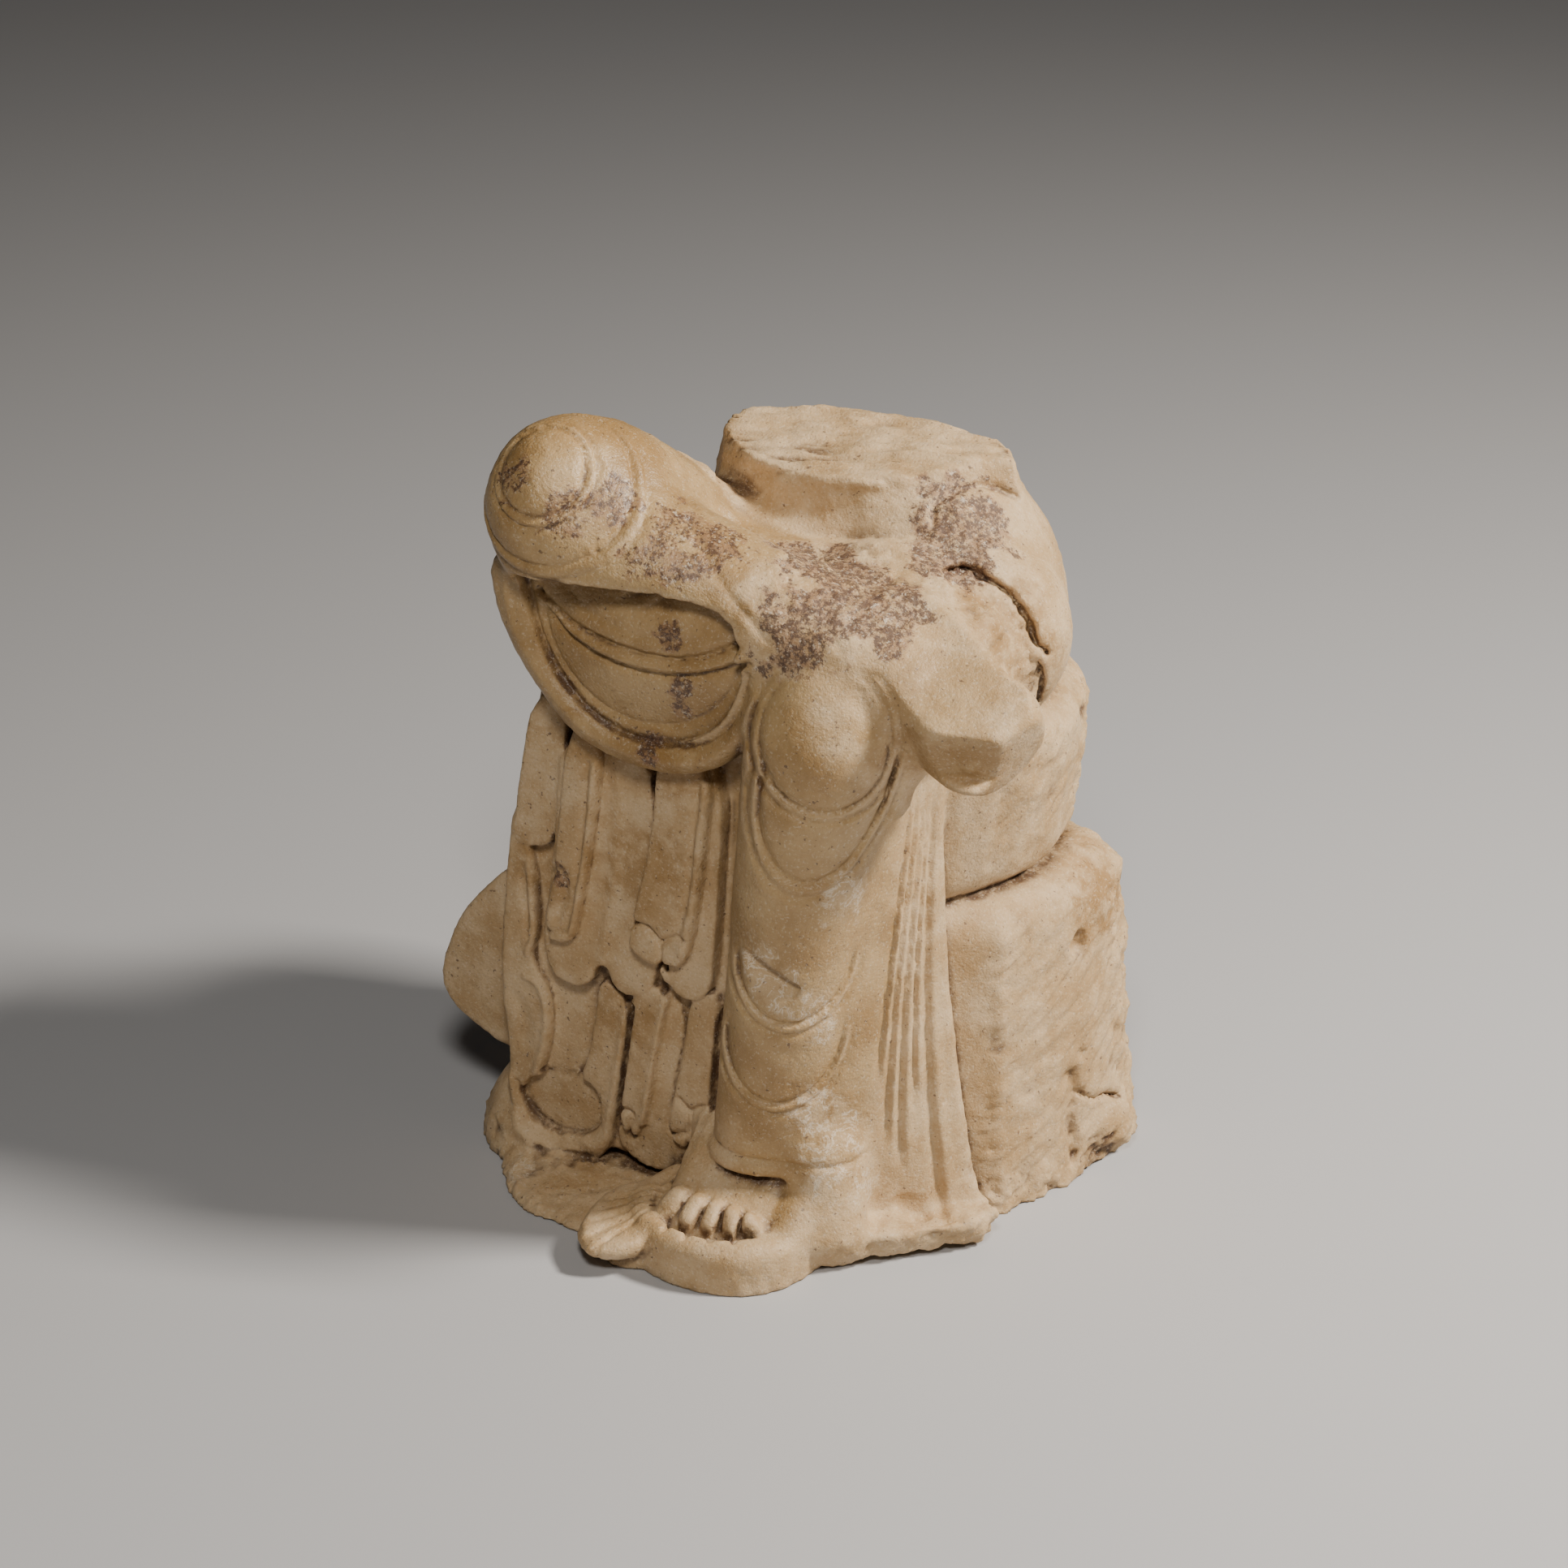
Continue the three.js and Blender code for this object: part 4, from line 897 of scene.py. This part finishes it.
def values_on(points, normal):
    """Six arrays by name, from the field, the places above and the direction of the surface."""
    x, y, z = points.T
    close, wide = field_at(points + 2.0 * normal) / 2.0, field_at(points + 8.0 * normal) / 8.0
    within = -field_at(points - 2.0 * normal) / 2.0
    hollow = clamp01(0.9 * clamp01(0.85 - close) / 0.6 + 0.6 * clamp01(0.8 - wide))
    edge = clamp01((0.92 - within) / 0.45)
    top = waist_break(points)
    legs = near(points, (-50, -30, 240), (56, 60, 40), 0.1) + near(points, (22, -52, 120), (32, 30, 92), 0.1)
    legs = legs + 0.6 * near(points, (64, -38, 198), (24, 22, 20), 0.2)
    cloth = near(points, (-40, -58, 200), (52, 20, 36), 0.1)
    cloth = cloth + 0.4 * near(points, (0, -72, 14), (34, 30, 20), 0.1)
    crust = spread(points, CRUST_PLACES, (15, 15, 15))
    thigh = spread(points, THIGH_PLACES, (7, 9, 7), 0.9, 6.0)
    skirt = smooth_step((x - 24) / 8) * smooth_step((-y - 8) / 5) * smooth_step((170 - z) / 10)
    wall = smooth_step((y + 8) / 8) * smooth_step((z - 224) / 8)
    stool = smooth_step((x - 40) / 12) * smooth_step((y + 6) / 8) * smooth_step((116 - z) / 6)
    worn = spread(points, WORN_PLACES, (6, 8, 9), 0.7, 5.0)
    # hollow darkens the colour as painted shade and dirt; edge lightens it as painted highlight and rubbing
    return {
        "hollow": hollow * (1 - 0.6 * skirt),
        "edge": edge,
        "polish": clamp01(legs + cloth) * (1 - top) * (1 - 0.7 * wall) * (1 - 0.8 * crust) * (1 - 0.5 * worn),
        "crust": clamp01(crust + spread(points, BLOB_PLACES, (4, 7, 5)) + 0.8 * thigh + 0.12),
        "brown_stain_and_shade": (0.7 * clamp01(spread(points, STAIN_AND_SHADE_PLACES, (14, 14, 12))) + 0.2 * stool) * (1 - top),
        "worn": worn,
    }


places = flat.reshape(-1, 3) / MM - shift
for name, values in values_on(places, field_slope(places, 1.0)).items():
    layer = thinned.attributes.new(name, "FLOAT", "POINT")
    layer.data.foreach_set("value", values.astype(np.float32))
    print(name, "mean:", round(float(values.mean()), 3))

# %% [markdown]
# ## The marble
# One material on the whole stone. A honey-coloured polish and a pale chalky break are mixed by the
# polish value, noise in several sizes clouds them, hollows are darkened with painted shade and dirt,
# edges are lightened with painted highlight and rubbing, and the crust is rusty brown, broken up into
# dark speckles and pale flecks. Every size is in millimetres.

# %% Material
stone = bpy.data.materials.new("marble")
stone.use_nodes = True
tree = stone.node_tree
shader = tree.nodes["Principled BSDF"]
coordinates = tree.nodes.new("ShaderNodeTexCoord").outputs["Object"]


def value_of(name):
    """The node output that reads a value stored on the points."""
    node = tree.nodes.new("ShaderNodeAttribute")
    node.attribute_name = name
    return node.outputs["Fac"]


def cloud(size_mm, detail=3.0, roughness=0.55, stretch=(1, 1, 1), warp=0.0):
    """Noise between 0 and 1 with features of about size_mm."""
    place = tree.nodes.new("ShaderNodeMapping")
    place.inputs["Scale"].default_value = stretch
    tree.links.new(coordinates, place.inputs["Vector"])
    node = tree.nodes.new("ShaderNodeTexNoise")
    tree.links.new(place.outputs["Vector"], node.inputs["Vector"])
    node.inputs["Scale"].default_value = 1 / (size_mm * MM)
    node.inputs["Detail"].default_value = detail
    node.inputs["Roughness"].default_value = roughness
    node.inputs["Distortion"].default_value = warp
    return node.outputs["Fac"]


def between(value, low, high):
    """0 below low, 1 above high, and a smooth rise from one to the other."""
    node = tree.nodes.new("ShaderNodeMapRange")
    node.interpolation_type = "SMOOTHSTEP"
    node.inputs["From Min"].default_value = low
    node.inputs["From Max"].default_value = high
    tree.links.new(value, node.inputs["Value"])
    return node.outputs["Result"]


def reckon(operation, first, second):
    """A math node: either side is a node output or a number."""
    node = tree.nodes.new("ShaderNodeMath")
    node.operation = operation
    for socket, value in zip(node.inputs, (first, second)):
        if isinstance(value, (int, float)):
            socket.default_value = value
        else:
            tree.links.new(value, socket)
    return node.outputs["Value"]


def blend(factor, first, second):
    """Colour mix: either side is a colour or the output of the blend before it."""
    node = tree.nodes.new("ShaderNodeMix")
    node.data_type = "RGBA"
    tree.links.new(factor, node.inputs["Factor"])
    for socket, colour in ((node.inputs["A"], first), (node.inputs["B"], second)):
        if isinstance(colour, tuple):
            socket.default_value = (*colour, 1)
        else:
            tree.links.new(colour, socket)
    return node.outputs["Result"]


HONEY, OCHRE = (0.46, 0.31, 0.148), (0.31, 0.185, 0.070)
CHALK, CREAM = (0.58, 0.42, 0.245), (0.44, 0.285, 0.135)
SHADE_AND_DIRT, CRUST, RUST = (0.10, 0.050, 0.022), (0.078, 0.040, 0.026), (0.24, 0.125, 0.070)
BROWN_STAIN_AND_SHADE, PALE = (0.30, 0.165, 0.050), (0.74, 0.64, 0.50)

polished = blend(between(cloud(28, 4, 0.6), 0.35, 0.68), HONEY, OCHRE)
broken = blend(between(cloud(17, 5, 0.65), 0.35, 0.65), CHALK, CREAM)
colour = blend(between(value_of("polish"), 0.25, 0.85), broken, polished)
veil = reckon("MULTIPLY", between(cloud(9, 5, 0.7, warp=0.6), 0.5, 0.72), 0.35)
colour = blend(veil, colour, CREAM)
# Brown: real stains, and painted shade under the broken stump.
colour = blend(reckon("MULTIPLY", value_of("brown_stain_and_shade"), between(cloud(7, 5, 0.7), 0.3, 0.6)), colour, BROWN_STAIN_AND_SHADE)
# Painted highlight: edges that stick out are lightened towards chalk, partly as rubbed wear and partly as the
# light that catches them.
colour = blend(reckon("MULTIPLY", between(value_of("edge"), 0.3, 1.0), 0.45), colour, CHALK)
# Painted shade: hollows read from the field are darkened towards dark brown, partly as dirt and partly as the
# shade that falls in them.
hollow_shade_and_dirt = reckon("MULTIPLY", between(value_of("hollow"), 0.15, 0.9), between(cloud(5, 4, 0.7), 0.2, 0.6))
colour = blend(hollow_shade_and_dirt, colour, SHADE_AND_DIRT)
patch = reckon("MULTIPLY", value_of("crust"), 0.27)
speckle = reckon("ADD", cloud(6, 7, 0.8), patch)
colour = blend(reckon("MULTIPLY", between(speckle, 0.64, 0.82), 0.60), colour, RUST)
grit = reckon("ADD", cloud(2.2, 5, 0.75), patch)
colour = blend(reckon("MULTIPLY", between(grit, 0.70, 0.82), 0.85), colour, CRUST)
chalky = reckon("SUBTRACT", patch, between(cloud(2.6, 4, 0.7, stretch=(1, 1, 1.3)), 0.36, 0.46))
colour = blend(reckon("MULTIPLY", between(chalky, 0.08, 0.27), 0.45), colour, PALE)
pin = reckon("ADD", cloud(1.6, 2, 0.5), reckon("MULTIPLY", value_of("crust"), 0.10))
colour = blend(reckon("MULTIPLY", between(pin, 0.68, 0.75), 0.7), colour, CRUST)
vein = reckon("ABSOLUTE", reckon("SUBTRACT", cloud(7, 4, 0.7, warp=0.5), 0.5), 0.0)
streak = reckon("ADD", reckon("MULTIPLY", between(vein, 0.04, 0.0), 0.6), 0.04)
worn = reckon("MULTIPLY", value_of("worn"), streak)
colour = blend(worn, colour, PALE)
fleck = cloud(0.9, 2, 0.6)
colour = blend(reckon("MULTIPLY", between(fleck, 0.56, 0.70), 0.30), colour, OCHRE)
colour = blend(reckon("MULTIPLY", between(fleck, 0.44, 0.30), 0.30), colour, PALE)
tree.links.new(colour, shader.inputs["Base Color"])

dull = reckon("MULTIPLY", reckon("SUBTRACT", 1.0, value_of("polish")), 0.28)
dull = reckon("ADD", dull, reckon("MULTIPLY", cloud(3, 4, 0.6), 0.25))
tree.links.new(reckon("ADD", dull, 0.26), shader.inputs["Roughness"])

grain = reckon("ADD", fleck, reckon("MULTIPLY", cloud(3.0, 5, 0.65), 1.8))
bump = tree.nodes.new("ShaderNodeBump")
bump.inputs["Strength"].default_value = 0.7
bump.inputs["Distance"].default_value = 0.35 * MM
tree.links.new(grain, bump.inputs["Height"])
tree.links.new(bump.outputs["Normal"], shader.inputs["Normal"])
shader.inputs["Subsurface Weight"].default_value = 0.12
shader.inputs["Subsurface Radius"].default_value = (1.0, 0.6, 0.35)
shader.inputs["Subsurface Scale"].default_value = 3 * MM
figure.data.materials.append(stone)
print("material nodes:", len(tree.nodes))

# %% Joining the part
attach(figure, "root")
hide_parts(NODE)

# %% [markdown]
# ## Floor, light and camera
# A plain pale floor and soft light, with the key light high on the right as in the photograph. The
# camera stands 30 degrees to the right of the figure's front and looks down on it by 25 degrees.

# %% Floor and light
floor_mesh = bpy.data.meshes.new("floor")
FLOOR_HALF = 3.0
floor_mesh.from_pydata([(-FLOOR_HALF, -FLOOR_HALF, 0), (FLOOR_HALF, -FLOOR_HALF, 0),
                        (FLOOR_HALF, FLOOR_HALF, 0), (-FLOOR_HALF, FLOOR_HALF, 0)], [], [(0, 1, 2, 3)])
floor = bpy.data.objects.new("floor", floor_mesh)
bpy.context.collection.objects.link(floor)
pale = bpy.data.materials.new("pale_floor")
pale.use_nodes = True
pale.node_tree.nodes["Principled BSDF"].inputs["Base Color"].default_value = (0.46, 0.46, 0.47, 1)
pale.node_tree.nodes["Principled BSDF"].inputs["Roughness"].default_value = 0.8
floor_mesh.materials.append(pale)


def soft_light(name, place, aim, size, watts, colour=(1, 1, 1)):
    """A square area light at place that faces aim."""
    lamp = bpy.data.lights.new(name, "AREA")
    lamp.size, lamp.energy, lamp.color = size, watts, colour
    light = bpy.data.objects.new(name, lamp)
    bpy.context.collection.objects.link(light)
    light.location = place
    light.rotation_euler = (Vector(aim) - Vector(place)).to_track_quat("-Z", "Y").to_euler()
    return light


soft_light("key", (0.90, 0.28, 1.00), (0, 0, 0.12), 0.20, 30.0, (1.0, 0.93, 0.84))
soft_light("front", (0.48, -0.88, 1.15), (0, 0, 0.12), 0.22, 10.0, (1.0, 0.96, 0.90))
world = bpy.data.worlds.new("studio")
bpy.context.scene.world = world
world.use_nodes = True
world.node_tree.nodes["Background"].inputs["Color"].default_value = (0.8, 0.8, 0.82, 1)
world.node_tree.nodes["Background"].inputs["Strength"].default_value = 0.03

# %% Camera
CAMERA_AZIMUTH, CAMERA_ELEVATION = 30.0, 25.0
FOCAL_MM, SENSOR_MM = 85.0, 36.0
IMAGE_PIXELS = 1932
PIXELS_PER_MM = 3.7
AIM_MM = np.array([-22.0, 15.0, 133.0])
azimuth, elevation = math.radians(CAMERA_AZIMUTH), math.radians(CAMERA_ELEVATION)
away = np.array([math.sin(azimuth) * math.cos(elevation), -math.cos(azimuth) * math.cos(elevation),
                 math.sin(elevation)])
distance_mm = FOCAL_MM / SENSOR_MM * IMAGE_PIXELS / PIXELS_PER_MM
lens = bpy.data.cameras.new("camera")
lens.lens, lens.sensor_width = FOCAL_MM, SENSOR_MM
camera = bpy.data.objects.new("camera", lens)
bpy.context.collection.objects.link(camera)
camera.location = (AIM_MM + shift + away * distance_mm) * MM
camera.rotation_euler = (math.pi / 2 - elevation, 0, azimuth)
bpy.context.scene.camera = camera
